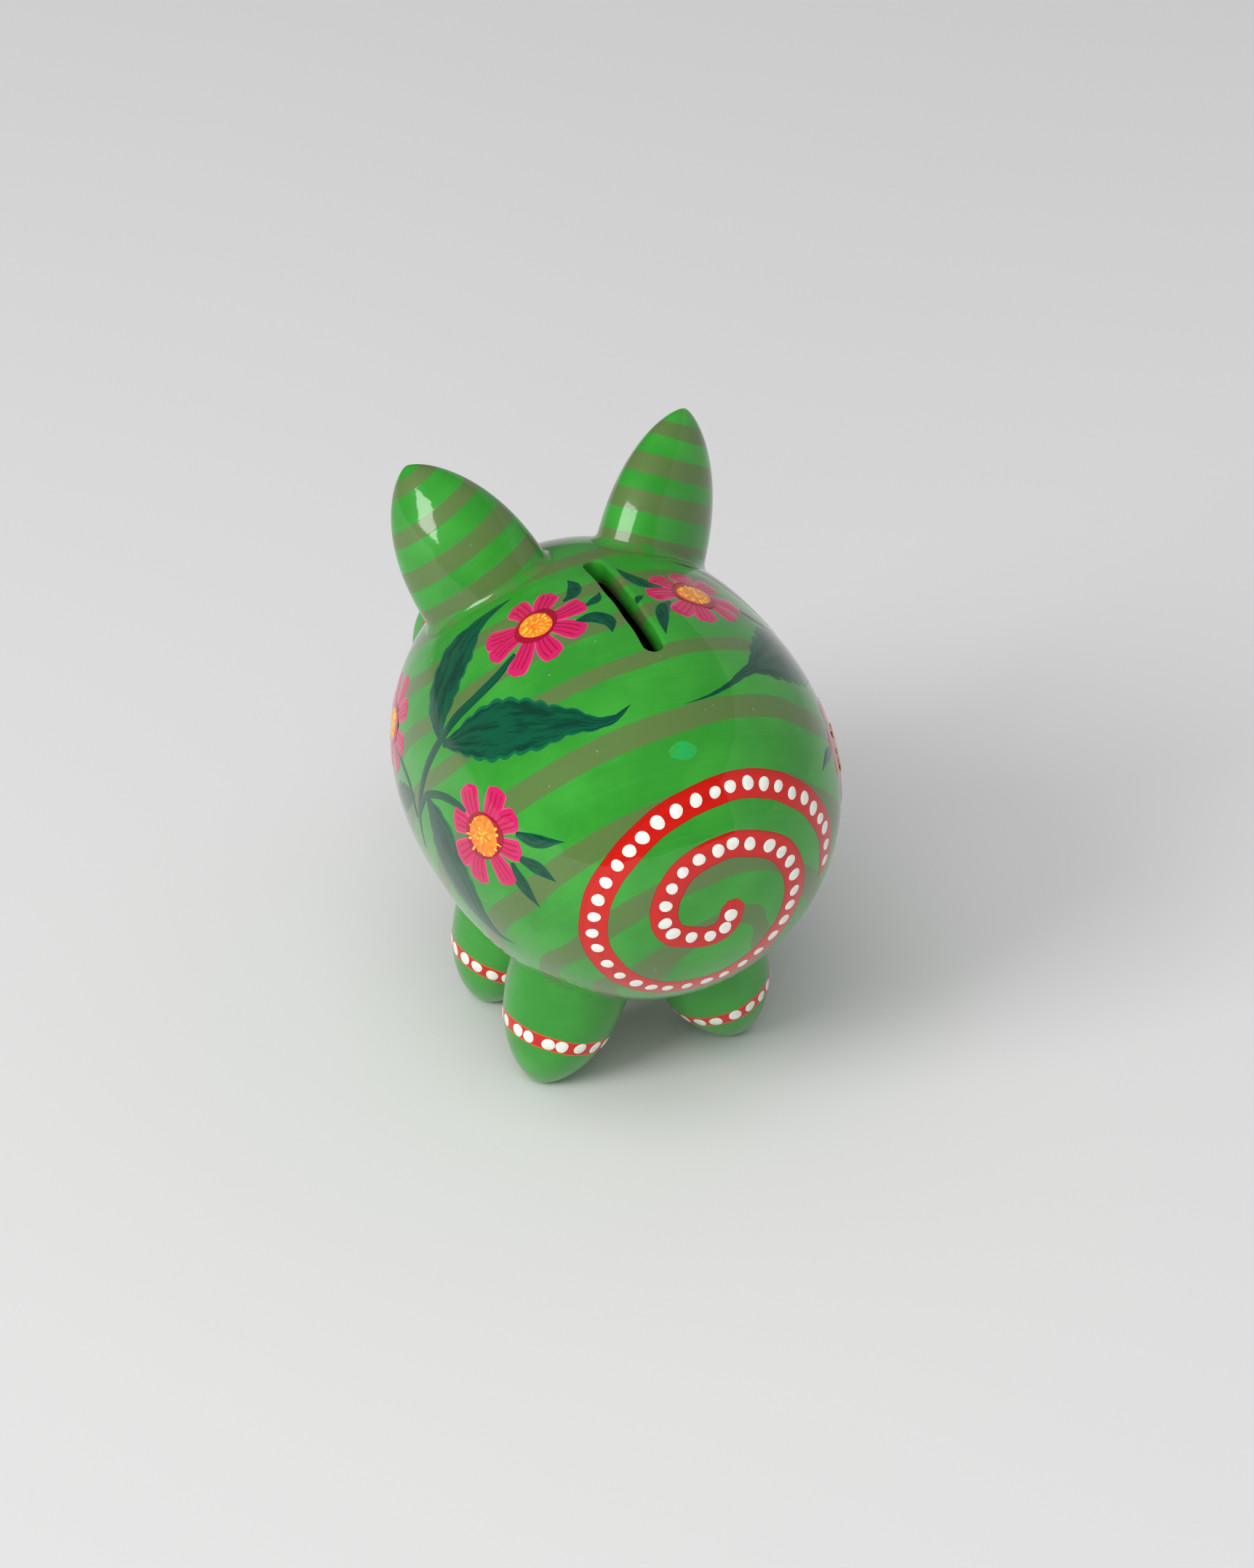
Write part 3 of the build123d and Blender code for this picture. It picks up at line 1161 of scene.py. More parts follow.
class Shells:
    """The hollow body: a front and a rear shell on a stepped joint, with the coin slot."""

    def __init__(self, skin: Skin, slot: SlotSizes, sizes: ShellSizes) -> None:
        """Takes the skin and the sizes.

        Args:
            skin: the body's outer surface.
            slot: the coin slot's sizes.
            sizes: the shells' sizes.
        """
        self.skin = skin
        self.slot = slot
        self.sizes = sizes

    def build(self, holes: Callable[[int], list[bpy.types.Object]]) -> dict[str, bpy.types.Object]:
        """Builds both shells.

        Args:
            holes: gives the dowel holes' cutters of the front (-1) or rear (1) shell.

        Returns:
            The shells by name.
        """
        front = self.whole("shell_front")
        rear = twin(front, "shell_rear")
        cut(front, self.front_half("front_half", -self.sizes.glue_gap), "INTERSECT")
        cut(rear, self.front_half("rear_recess", 0.0), "DIFFERENCE")
        for shell, end, tools in ((front, -1, [self.bore()]), (rear, 1, [])):
            tool = joined(tools + holes(end), "shell_holes")
            cut(shell, tool, "DIFFERENCE")
            remove(tool)
        for name in ("front_half", "rear_recess"):
            remove(bpy.data.objects[name])
        for shell in (front, rear):
            tidy(shell, outward=False)
            smooth(shell, 35)
        return {"front": front, "rear": rear}

    def whole(self, name: str) -> bpy.types.Object:
        """The whole shell with its slot, before it is parted.

        Args:
            name: the mesh's name.

        Returns:
            The shell.
        """
        obj = grid(name, self.sizes.round_faces, self.sizes.long_faces)
        flat = read_points(obj)
        flat[:, 0] *= tau * self.skin.radius
        flat[:, 1] *= 2 * self.skin.half_arc
        write_points(obj, flat)
        slot = self.slot
        reach = slot.width / 2 + slot.margin
        self.pick(obj, "FACE", lambda p: (np.abs(p[:, 0]) < reach)
                  & (p[:, 1] > slot.front - slot.margin) & (p[:, 1] < slot.rear + slot.margin))
        bpy.ops.object.mode_set(mode="EDIT")
        bpy.ops.mesh.delete(type="FACE")
        bpy.ops.mesh.select_all(action="SELECT")
        bpy.ops.mesh.duplicate()
        bpy.ops.transform.translate(value=(0, 0, -self.skin.wall))
        bpy.ops.mesh.flip_normals()
        bpy.ops.object.mode_set(mode="OBJECT")
        self.select_rim(obj, 0.0)
        for spread, depth in self.lip_steps():
            self.sink(obj, spread, depth)
        self.select_rim(obj, -self.skin.wall)
        bpy.ops.object.mode_set(mode="EDIT")
        bpy.ops.mesh.bridge_edge_loops()
        bpy.ops.object.mode_set(mode="OBJECT")
        write_points(obj, BackSheet(self.skin).lay(read_points(obj)) * MM)
        tidy(obj)
        return obj

    def lip_steps(self) -> list[tuple[float, float]]:
        """Rings round the slot, from the skin down the wall.

        Returns:
            Pairs of how far a ring lies from the slot and its height, in lip radii.
        """
        wall = self.skin.wall
        rounded = [(1 - sin(radians(turn)), -(1 - cos(radians(turn)))) for turn in (0, 18, 36, 54, 72, 90)]
        steps = [(4.0, 0.0), (2.6, 0.0), (1.6, 0.0)] + rounded
        down = [(0.0, -1.6 / self.slot.lip), (0.0, -3.5 / self.slot.lip), (0.0, -5.4 / self.slot.lip)]
        floor = -wall / self.slot.lip
        inner = [(0.25, -(wall - 0.15) / self.slot.lip), (0.8, floor), (3.0, floor)]
        return steps + down + inner

    def sink(self, obj: bpy.types.Object, spread: float, depth: float) -> None:
        """Extrudes the selected rim into one more ring round the slot.

        Args:
            obj: the shell, laid flat.
            spread: distance from the slot, in lip radii.
            depth: height, in lip radii.
        """
        bpy.ops.object.mode_set(mode="EDIT")
        bpy.ops.mesh.extrude_edges_move()
        bpy.ops.object.mode_set(mode="OBJECT")
        points = read_points(obj)
        chosen = np.zeros(len(points), bool)
        obj.data.vertices.foreach_get("select", chosen)
        ring = points[chosen]
        half = self.slot.width / 2
        foot = np.clip(ring[:, 1], self.slot.front + half, self.slot.rear - half)
        away = np.stack([ring[:, 0], ring[:, 1] - foot], 1)
        away /= np.linalg.norm(away, axis=1, keepdims=True)
        lip = self.slot.lip - self.slot.lip_lean * away[:, 0]
        waver = 0.10 * np.sin(ring[:, 1] * 0.55 + 1) * np.sign(away[:, 0]) * (depth > -2)
        out = half + waver + lip * spread
        low = np.full(len(ring), self.slot.lip * depth)
        if depth > -1.01:
            low = np.maximum(lip * depth, -self.skin.wall)
        points[chosen] = np.stack([away[:, 0] * out, foot + away[:, 1] * out, low], 1)
        write_points(obj, points)

    def pick(self, obj: bpy.types.Object, mode: str, test: Callable[[np.ndarray], np.ndarray]) -> None:
        """Selects the faces whose centres pass a test.

        Args:
            obj: the mesh.
            mode: the select mode to leave set.
            test: takes rows of centres and gives true or false for each.
        """
        choose(obj)
        bpy.ops.object.mode_set(mode="EDIT")
        bpy.ops.mesh.select_mode(type=mode)
        bpy.ops.mesh.select_all(action="DESELECT")
        bpy.ops.object.mode_set(mode="OBJECT")
        obj.data.polygons.foreach_set("select", test(face_centres(obj)))

    def select_rim(self, obj: bpy.types.Object, height: float) -> None:
        """Selects the open edges round the slot at a height, and not those at the shell's ends.

        Args:
            obj: the shell, laid flat.
            height: the height in millimetres.
        """
        choose(obj)
        bpy.ops.object.mode_set(mode="EDIT")
        bpy.ops.mesh.select_mode(type="EDGE")
        bpy.ops.mesh.select_all(action="DESELECT")
        bpy.ops.mesh.select_non_manifold(extend=False, use_wire=False, use_multi_face=False,
                                         use_non_contiguous=False, use_verts=False, use_boundary=True)
        bpy.ops.object.mode_set(mode="OBJECT")
        points = read_points(obj)
        edges = np.empty(len(obj.data.edges) * 2, np.int32)
        obj.data.edges.foreach_get("vertices", edges)
        ends = points[edges.reshape(-1, 2)]
        on = np.zeros(len(obj.data.edges), bool)
        obj.data.edges.foreach_get("select", on)
        near = (np.abs(ends[:, :, 0]) < 20).all(1) & (np.abs(ends[:, :, 1]) < 60).all(1)
        level = (np.abs(ends[:, :, 2] - height) < 0.3).all(1)
        obj.data.edges.foreach_set("select", on & near & level)
        bpy.ops.object.mode_set(mode="EDIT")
        bpy.ops.object.mode_set(mode="OBJECT")

    def front_half(self, name: str, growth: float) -> bpy.types.Object:
        """A stepped block that takes the front half and the tongue of the joint.

        Args:
            name: the block's name.
            growth: added to the radius of the tongue.

        Returns:
            The block.
        """
        sizes = self.sizes
        seam = self.skin.centre[1] + sizes.seam
        depth = 2 * self.skin.half_length
        middle = (self.skin.centre[0], seam - depth / 2, self.skin.centre[2])
        block = peg(name, middle, 2 * self.skin.radius, depth, sizes.round_faces)
        self.pick(block, "FACE", lambda p: p[:, 1] > (seam - 0.1) * MM)
        step = self.skin.radius - self.skin.wall / 2 + growth
        size = step / (2 * self.skin.radius)
        bpy.ops.object.mode_set(mode="EDIT")
        bpy.ops.mesh.extrude_region_move()
        bpy.ops.transform.resize(value=(size, 1, size))
        bpy.ops.mesh.extrude_region_move(TRANSFORM_OT_translate={
            "value": (0, (sizes.lap + (0.0 if growth else sizes.glue_gap)) * MM, 0)})
        bpy.ops.object.mode_set(mode="OBJECT")
        return block

    def bore(self) -> bpy.types.Object:
        """The cutter of the bore that the snout's tenon fits.

        Returns:
            The cutter.
        """
        sizes = self.sizes
        centre = self.skin.centre - np.array([0, self.skin.half_length, sizes.bore_drop])
        return peg("bore", centre, sizes.bore_radius, 60, 96)

    def dress(self, shells: dict[str, bpy.types.Object], paint: bpy.types.Material,
              wood: bpy.types.Material) -> None:
        """Paints the outside and the slot's walls and leaves the inside bare.

        Args:
            shells: the shells by name.
            paint: the painted ground.
            wood: the bare wood.
        """
        for name, shell in shells.items():
            finish_piece(shell, BODY_NAME, paint, wood)
            points = face_centres(shell).astype(float) / MM
            depth = np.linalg.norm(points - self.skin.dropped(points), axis=1)
            local = points - self.skin.centre
            in_slot = (np.abs(local[:, 0]) < 4.5) & (local[:, 2] > 0) & (depth < self.skin.wall - 0.4)
            in_slot &= (local[:, 1] > self.slot.front - 3) & (local[:, 1] < self.slot.rear + 3)
            bare = (depth > 0.6) & ~in_slot
            shell.data.polygons.foreach_set("material_index", bare.astype(np.int32))
            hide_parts(f"body_{name}")


@dataclass(frozen=True)
class LimbSizes:
    """An ear or a leg, in millimetres from the body's centre."""

    root: tuple[float, float, float]
    tip: tuple[float, float, float]
    half_width: float
    half_thickness: float
    turn: float
    bluntness: float
    fullness: float
    bead: float  # size of the filler bead at its foot
    dowel_radius: float = 3.05
    dowel_depth: float = 13.05


class Limb:
    """An ear or a leg: a turned bullet coped to the body, with a filler bead at its foot."""

    round_faces = 72
    long_faces = 44

    def __init__(self, name: str, skin: Skin, sizes: LimbSizes, side: int) -> None:
        """Takes the sizes of the pig's left limb and mirrors them for its right one.

        Args:
            name: the CAD node's name.
            skin: the body's outer surface.
            sizes: the limb's sizes on the pig's left.
            side: 1 on the pig's left and -1 on its right.
        """
        self.name = name
        self.skin = skin
        self.sizes = sizes
        turn = np.array([side, 1, 1])
        self.bullet = Bullet(
            root=skin.centre + np.array(sizes.root) * turn,
            tip=skin.centre + np.array(sizes.tip) * turn,
            half_width=sizes.half_width,
            half_thickness=sizes.half_thickness,
            turn=side * sizes.turn,
            bluntness=sizes.bluntness,
            fullness=sizes.fullness,
        )

    def floor_end(self, angle: np.ndarray) -> np.ndarray:
        """How far along the surface meets the floor, or the tip if it doesn't.

        Args:
            angle: angles round the limb, in radians.

        Returns:
            A part of the way along for each angle.
        """
        low = np.full_like(angle, 0.5)
        high = np.ones_like(angle)
        for _ in range(40):
            middle = (low + high) / 2
            above = self.bullet.point(angle, middle)[..., 2] > 0
            low = np.where(above, middle, low)
            high = np.where(above, high, middle)
        return high

    def build(self) -> bpy.types.Object:
        """Builds the limb, closed where it sits on the body, with its dowel hole.

        Returns:
            The limb.
        """
        obj = grid(self.name + "_form", self.round_faces, self.long_faces)
        flat = read_points(obj)
        angle = (flat[:, 0] + 0.5) * tau
        rings = np.round((flat[:, 1] + 0.5) * self.long_faces)
        under, over = 6, 5
        start = self.bullet.junction(self.skin, angle)
        end = self.floor_end(angle)
        share = np.clip((rings - under) / (self.long_faces - under - over), 0, 1)
        along = start + (end - start) * (1 - (1 - share) ** 1.5)
        points = self.bullet.point(angle, along)
        foot = self.skin.dropped((self.bullet.root + self.bullet.axis * SEAT_REACH)[None, :])[0]
        inward = np.clip(1 - rings / under, 0, 1)[:, None]
        seated = self.skin.dropped(points * (1 - inward) + foot * inward)
        points = np.where(inward > 0, seated, points)
        last = self.bullet.tip.copy()
        if last[2] < 0:
            last = last - self.bullet.axis * last[2] / self.bullet.axis[2]
        outward = np.clip((rings - self.long_faces + over) / over, 0, 1)[:, None]
        points = points * (1 - outward) + last * outward
        write_points(obj, points * MM)
        tidy(obj)
        tool = self.hole()
        cut(obj, tool, "DIFFERENCE")
        remove(tool)
        smooth(obj, 35)
        return obj

    def hole(self) -> bpy.types.Object:
        """The cutter of the dowel's hole, from inside the body into the limb.

        Returns:
            The cutter.
        """
        foot = self.skin.dropped((self.bullet.root + self.bullet.axis * SEAT_REACH)[None, :])[0]
        reach = float((foot - self.bullet.root) @ self.bullet.axis)
        start = reach - 14
        end = reach + self.sizes.dowel_depth
        centre = self.bullet.root + self.bullet.axis * (start + end) / 2
        turn = Vector(self.bullet.axis).to_track_quat("Z", "Y").to_euler()
        return peg(self.name + "_hole", centre, self.sizes.dowel_radius, end - start, 32, turn)

    def bead(self) -> bpy.types.Object:
        """The filler pressed into the corner between the limb and the body.

        Returns:
            The bead.
        """
        obj = grid(self.name + "_bead_form", self.round_faces, 8)
        flat = read_points(obj)
        angle = (flat[:, 0] + 0.5) * tau
        turn = (flat[:, 1] + 0.5) * tau
        start = self.bullet.junction(self.skin, angle)
        corner = self.bullet.point(angle, start)
        size = self.sizes.bead * (1 + 0.15 * np.sin(3 * angle) + 0.1 * np.sin(7 * angle + 1))
        up_point = self.bullet.point(angle, start + size / self.bullet.length)
        axis_foot = self.bullet.root + self.bullet.axis * (self.bullet.length * start)[:, None]
        away = corner - axis_foot
        away /= np.linalg.norm(away, axis=1, keepdims=True)
        normal = self.skin.normal(corner)
        away -= normal * (away * normal).sum(1, keepdims=True)
        away /= np.linalg.norm(away, axis=1, keepdims=True)
        out_point = self.skin.dropped(corner + away * size[:, None]) + normal * 0.02
        up_point = up_point + self.bullet.normal(angle, start + 0.02) * 0.02
        share = np.round(turn / tau * 8)
        f = np.clip(share / 6, 0, 1)[:, None]
        hollow = corner + (up_point + out_point - 2 * corner) * 0.16
        face = up_point * (1 - f) ** 2 + 2 * hollow * f * (1 - f) + out_point * f**2
        inside = corner - (up_point + out_point - 2 * corner) * 0.12
        points = np.where((share == 7)[:, None], inside, face)
        points = np.where((share == 8)[:, None], up_point, points)
        write_points(obj, points * MM)
        tidy(obj)
        smooth(obj, 50)
        return obj

    def dress(self, limb: bpy.types.Object, bead: bpy.types.Object, paint: bpy.types.Material,
              filler: bpy.types.Material) -> None:
        """Paints the limb and its bead.

        Args:
            limb: the built limb.
            bead: its bead.
            paint: the limb's paint.
            filler: the bead's paint.
        """
        limb.name = self.name + "_turned"
        bead.name = self.name + "_filler"
        finish_piece(limb, BODY_NAME, paint)
        finish_piece(bead, BODY_NAME, filler)
        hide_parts(self.name)

    def ring_sheet(self, along: float) -> tuple["RoundSheet", float]:
        """A sheet wound round the limb at a part of the way along it, and its circumference.

        Args:
            along: the part of the way.

        Returns:
            The sheet and the circumference in millimetres.
        """
        bullet = self.bullet
        reach = max(1 - along**bullet.bluntness, 0) ** (1 / bullet.fullness)
        radius = (bullet.half_width + bullet.half_thickness) / 2 * reach
        return RoundSheet(bullet, along, radius), tau * radius


@dataclass(frozen=True)
class RoundSheet:
    """A sheet wound round a bullet: x is round it and y along it, from a ring at a height."""

    bullet: Bullet
    ring: float  # part of the way along the bullet
    radius: float

    def lay(self, flat: np.ndarray) -> np.ndarray:
        """Lays the sheet's points on the object.

        Args:
            flat: rows of (x, y, height) on the sheet.

        Returns:
            Rows of points in the object's frame, in millimetres.
        """
        angle = flat[:, 0] / self.radius
        along = self.ring + flat[:, 1] / self.bullet.length
        return self.bullet.point(angle, along) + self.bullet.normal(angle, along) * flat[:, 2:3]


@dataclass(frozen=True)
class SnoutSizes:
    """The snout, in millimetres. Its radius and place come from the frame."""

    rounding: float = 2.5
    gap: float = 0.3
    tenon_radius: float = 16.0
    tenon_end: float = 46.0  # from the body's centre
    chamfer: float = 1.0
    nostril_radius: float = 2.5
    nostril_depth: float = 7.0
    nostril_spacing: float = 15.0
    band_from: float = 5.9  # back from the face
    band_to: float = 9.1
    band_dots: int = 30


class Snout:
    """The stopper: a turned snout with its tenon, coped to the body, and two nostrils."""

    def __init__(self, skin: Skin, sizes: SnoutSizes) -> None:
        """Takes the sizes and finds the snout in the frame.

        Args:
            skin: the body's outer surface.
            sizes: the snout's sizes.
        """
        self.skin = skin
        self.sizes = sizes
        low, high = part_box("snout")
        self.radius = (high.x - low.x) / 2 / MM
        self.middle = np.array([(low.x + high.x) / 2, low.y, (low.z + high.z) / 2]) / MM

    def shoulder(self, angle: np.ndarray, radius: float) -> np.ndarray:
        """Where a line along the snout, at a radius from its axis, clears the body.

        Args:
            angle: from the top, in radians.
            radius: the radius in millimetres.

        Returns:
            The y of each place, in millimetres.
        """
        x = self.middle[0] + radius * np.sin(angle) - self.skin.centre[0]
        z = self.middle[2] + radius * np.cos(angle) - self.skin.centre[2]
        grown = self.skin.radius + self.sizes.gap
        inside = 1 - (np.hypot(x, z) / grown) ** self.skin.exponent
        reach = (self.skin.half_length + self.sizes.gap) * inside ** (1 / self.skin.exponent)
        return self.skin.centre[1] - reach

    def rings(self, angle: np.ndarray) -> list[tuple[float, np.ndarray]]:
        """The snout's profile from the middle of its face to the end of its tenon.

        Args:
            angle: from the top, in radians.

        Returns:
            A radius and the y at each angle, for each ring.
        """
        sizes = self.sizes
        front = self.middle[1] + 0 * angle
        flat = self.radius - sizes.rounding
        rings = [(share * flat, front) for share in (0.0, 0.25, 0.5, 0.75, 0.93, 1.0)]
        for turn in (15, 30, 45, 60, 75, 90):
            out = self.radius - sizes.rounding * (1 - sin(radians(turn)))
            rings.append((out, front + sizes.rounding * (1 - cos(radians(turn)))))
        back = self.shoulder(angle, self.radius)
        start = front + sizes.rounding
        run = back - 0.5 - start
        rings += [(self.radius, start + run * share) for share in (0.15, 0.4, 0.7, 0.96, 1.0)]
        rings.append((self.radius - 0.15, self.shoulder(angle, self.radius - 0.15) - 0.12))
        rings.append((self.radius - 0.5, self.shoulder(angle, self.radius - 0.5)))
        rings += [(r, self.shoulder(angle, r)) for r in (19.0, 17.5, 16.3, sizes.tenon_radius)]
        end = self.skin.centre[1] - sizes.tenon_end + 0 * angle
        side = self.shoulder(angle, sizes.tenon_radius)
        tail = end - sizes.chamfer
        rings += [(sizes.tenon_radius, side + (tail - side) * share) for share in (0.05, 0.5, 0.97, 1.0)]
        bevel = sizes.chamfer
        rings += [(sizes.tenon_radius - bevel * share, tail + bevel * share) for share in (0.5, 1.0)]
        rings += [((sizes.tenon_radius - bevel) * share, end) for share in (0.95, 0.6, 0.3, 0.0)]
        return rings

    def build(self) -> bpy.types.Object:
        """Builds the snout with its nostrils.

        Returns:
            The snout.
        """
        count = len(self.rings(np.zeros(1)))
        obj = grid("snout_turned", 96, count - 1)
        flat = read_points(obj)
        angle = (flat[:, 0] + 0.5) * tau
        place = np.round((flat[:, 1] + 0.5) * (count - 1)).astype(int)
        profile = self.rings(angle)
        radius = np.array([ring[0] for ring in profile])[place]
        y = np.stack([ring[1] for ring in profile])[place, np.arange(len(place))]
        x = self.middle[0] + radius * np.sin(angle)
        z = self.middle[2] + radius * np.cos(angle)
        write_points(obj, np.stack([x, y, z], 1) * MM)
        tidy(obj)
        for side in (-1, 1):
            tool = self.nostril(side)
            cut(obj, tool, "DIFFERENCE")
            remove(tool)
        smooth(obj, 35)
        return obj

    def nostril(self, side: int) -> bpy.types.Object:
        """The cutter of a drilled nostril.

        Args:
            side: 1 on the pig's left, -1 on its right.

        Returns:
            The cutter.
        """
        sizes = self.sizes
        x = self.middle[0] + side * sizes.nostril_spacing / 2
        middle = (x, self.middle[1], self.middle[2])
        return peg("nostril", middle, sizes.nostril_radius, 2 * sizes.nostril_depth, 40)

    def dress(self, snout: bpy.types.Object, paint: bpy.types.Material, wood: bpy.types.Material,
              red: bpy.types.Material, white: bpy.types.Material, rng: np.random.Generator) -> None:
        """Paints the snout, leaves its tenon bare and lays the band and its dots.

        Args:
            snout: the built snout.
            paint: its paint.
            wood: the bare wood.
            red: the band's paint.
            white: the dots' paint.
            rng: the source of unevenness.
        """
        finish_piece(snout, STOPPER_NAME, paint, wood)
        points = face_centres(snout).astype(float) / MM - self.middle
        out = np.hypot(points[:, 0], points[:, 2])
        shoulder = self.shoulder(np.arctan2(points[:, 0], points[:, 2]), 0.0) - self.middle[1]
        bare = (points[:, 1] > self.sizes.rounding + 2) & (out < self.radius - 1)
        bare |= (points[:, 1] > shoulder)
        bare &= out < self.radius - 0.6
        snout.data.polygons.foreach_set("material_index", bare.astype(np.int32))
        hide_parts("snout")
        sheet = BarrelSheet(self.middle, self.radius)
        width = (self.sizes.band_to - self.sizes.band_from) / 2
        middle = (self.sizes.band_to + self.sizes.band_from) / 2
        band = ring_band("snout_band", sheet, 360.0, middle, width, 96)
        finish_piece(band, STOPPER_NAME, red)
        radius = 1.35
        turn = degrees(1 / self.radius)
        dots = []
        for number in range(self.sizes.band_dots):
            place = (number + rng.uniform(-0.12, 0.12)) * 360 / self.sizes.band_dots
            y = middle + rng.uniform(-0.2, 0.2)
            dots.append(Dot(place / turn, y, radius * rng.uniform(0.9, 1.1), 0.15, 0.05))
        millimetres = BarrelSheet(self.middle, self.radius, turn)
        finish_piece(drops("snout_dots", millimetres, dots, rng), STOPPER_NAME, white)


def ring_band(name: str, sheet: Sheet, around: float, middle: float, half_width: float,
              faces: int) -> bpy.types.Object:
    """A painted band that goes all the way round.

    Args:
        name: the piece's name.
        sheet: a sheet that closes on itself.
        around: the sheet's x after one turn.
        middle: the y of the band's middle.
        half_width: half the band's width.
        faces: faces round the band.

    Returns:
        The band's object.
    """
    obj = grid(name, faces, 6)
    flat = read_points(obj)
    share = flat[:, 0] + 0.5
    side = flat[:, 1] * 2
    waver = 0.12 * np.sin(share * tau * 3 + middle) + 0.08 * np.sin(share * tau * 7)
    laid = np.stack([share * around, middle + waver + side * half_width, 0.02 + 0.06 * (1 - side**2)], 1)
    settle(obj, laid, sheet)
    give_tone(obj, 0.5)
    tidy(obj, outward=False)
    solidify(obj, PAINT_THICKNESS)
    smooth(obj, 60)
    return obj


PETAL_PROFILE = (  # part of the way out, and half width
    (0.0, 0.45), (0.25, 0.74), (0.5, 0.94), (0.75, 1.04), (0.9, 0.94), (0.97, 0.62), (1.0, 0.12),
)


@dataclass(frozen=True)
class Flower:
    """A painted flower: petals round an orange disc edged with dark red."""

    name: str
    x: float
    y: float
    disc: float
    tips: tuple[tuple[float, float], ...]
    petal_width: float = 2.85
    burst: float = 0.88  # how far the yellow dabs reach, in disc radii

    def petals(self) -> list[Stroke]:
        """The petals' strokes, drawn from the disc outwards.

        Returns:
            The strokes.
        """
        strokes = []
        for number, (x, y) in enumerate(self.tips):
            away = np.array([x - self.x, y - self.y])
            start = np.array([self.x, self.y]) + away / np.linalg.norm(away) * self.disc * 0.7
            reach = np.array([x, y]) - start
            bend = np.array([-reach[1], reach[0]]) * 0.05 * (1 if number % 2 else -1)
            line = []
            for share, width in PETAL_PROFILE:
                point = start + reach * share + bend * sin(pi * share)
                line.append((float(point[0]), float(point[1]), width * self.petal_width))
            base = 0.02 + 0.01 * (number % 2)
            strokes.append(Stroke(tuple(line), base=base, dome=0.1, facet=0.75))
        return strokes

    def dabs(self, rng: np.random.Generator) -> list[Stroke]:
        """Short yellow strokes that point outwards, round the disc's edge and inside it.

        Args:
            rng: the source of unevenness.

        Returns:
            The strokes.
        """
        strokes = []
        for number in range(28):
            edge = number < 15
            angle = (number + rng.uniform(-0.4, 0.4)) * tau / 15 if edge else rng.uniform(0, tau)
            inner = self.disc * (self.burst - 0.3 if edge else rng.uniform(0.0, 0.45))
            outer = self.disc * self.burst * rng.uniform(0.85, 1.1) if edge else inner + rng.uniform(0.7, 1.5)
            width = rng.uniform(0.22, 0.42)
            line = []
            for share, part in ((0.0, 0.5), (0.35, 1.0), (0.75, 0.9), (1.0, 0.3)):
                reach = inner + (outer - inner) * share
                line.append((self.x + reach * cos(angle), self.y + reach * sin(angle), width * part))
            strokes.append(Stroke(tuple(line), base=0.3, dome=0.1, facet=0.4, uneven=0.0))
        return strokes

    def paint(self, sheet: Sheet, paints: "Paints", rng: np.random.Generator) -> None:
        """Lays the flower on a sheet.

        Args:
            sheet: where it is laid.
            paints: the mixed materials.
            rng: the source of unevenness.
        """
        petals = painted_strokes(self.name + "_petals", sheet, self.petals(), rng)
        finish_piece(petals, BODY_NAME, paints.petal)
        edge = [Dot(self.x, self.y, self.disc + 1.2, 0.1, 0.14)]
        ring = drops(self.name + "_ring", sheet, edge, rng, 32, 12)
        finish_piece(ring, BODY_NAME, paints.dark_red)
        disc = drops(self.name + "_disc", sheet, [Dot(self.x, self.y, self.disc, 0.18, 0.17)], rng, 32, 12)
        finish_piece(disc, BODY_NAME, paints.orange)
        dabs = painted_strokes(self.name + "_dabs", sheet, self.dabs(rng), rng)
        finish_piece(dabs, BODY_NAME, paints.yellow)


@dataclass
class Paints:
    """The mixed materials."""

    body: bpy.types.Material
    ear: dict[int, bpy.types.Material]
    leg: bpy.types.Material
    snout: bpy.types.Material
    filler: bpy.types.Material
    petal: bpy.types.Material
    leaf: bpy.types.Material
    stem: bpy.types.Material
    smear: bpy.types.Material
    red: bpy.types.Material
    banded_red: bpy.types.Material
    dark_red: bpy.types.Material
    white: bpy.types.Material
    orange: bpy.types.Material
    yellow: bpy.types.Material
    black: bpy.types.Material
    rose: bpy.types.Material
    wood: bpy.types.Material


STEM_MAIN: Line = (
    (29, 6.5, 0.9), (36, 7.8, 1.3), (43, 7, 1.4), (50, 5, 1.4), (57, 3.5, 1.3), (64, 2, 1.3), (72, 1, 1.2),
    (80, 0.5, 1.1), (88, 1.5, 0.7),
)
STEM_SIDES: tuple[Line, ...] = (
    ((78, 1, 0.9), (72, 4, 1.0), (68, 10, 1.0), (66, 16, 1.0), (65.3, 22, 0.9)),
    ((81, -1, 0.8), (75, -6, 0.9), (73, -12, 0.9), (72, -19, 0.9)),
)
LEAF_UPPER: Line = (
    (57, 2.8, 0.5), (53, -1.5, 4.0), (46, -6.5, 6.0), (38, -10.3, 5.2), (31.5, -12, 2.2), (21.5, -12.2, 0.0),
)
LEAF_TAILED: Line = (
    (57, 5, 0.8), (54, 9, 2.4), (48, 15, 6.5), (41, 22, 7.5), (34, 29, 5.5), (28.5, 33, 3.5), (24, 37, 1.8),
    (19, 38.7, 1.0), (13, 37.5, 0.0),
)
LEAF_LOWER: Line = (
    (72, 5, 0.8), (76, 12, 5.5), (83, 18, 7.0), (90, 23.5, 5.5), (96, 28, 2.5), (99, 31, 1.0), (100, 36, 0.0),
)
LEAF_FAINT: Line = ((76, -3, 0.5), (79, -8, 3.0), (83, -14, 3.5), (86, -19, 0.0))
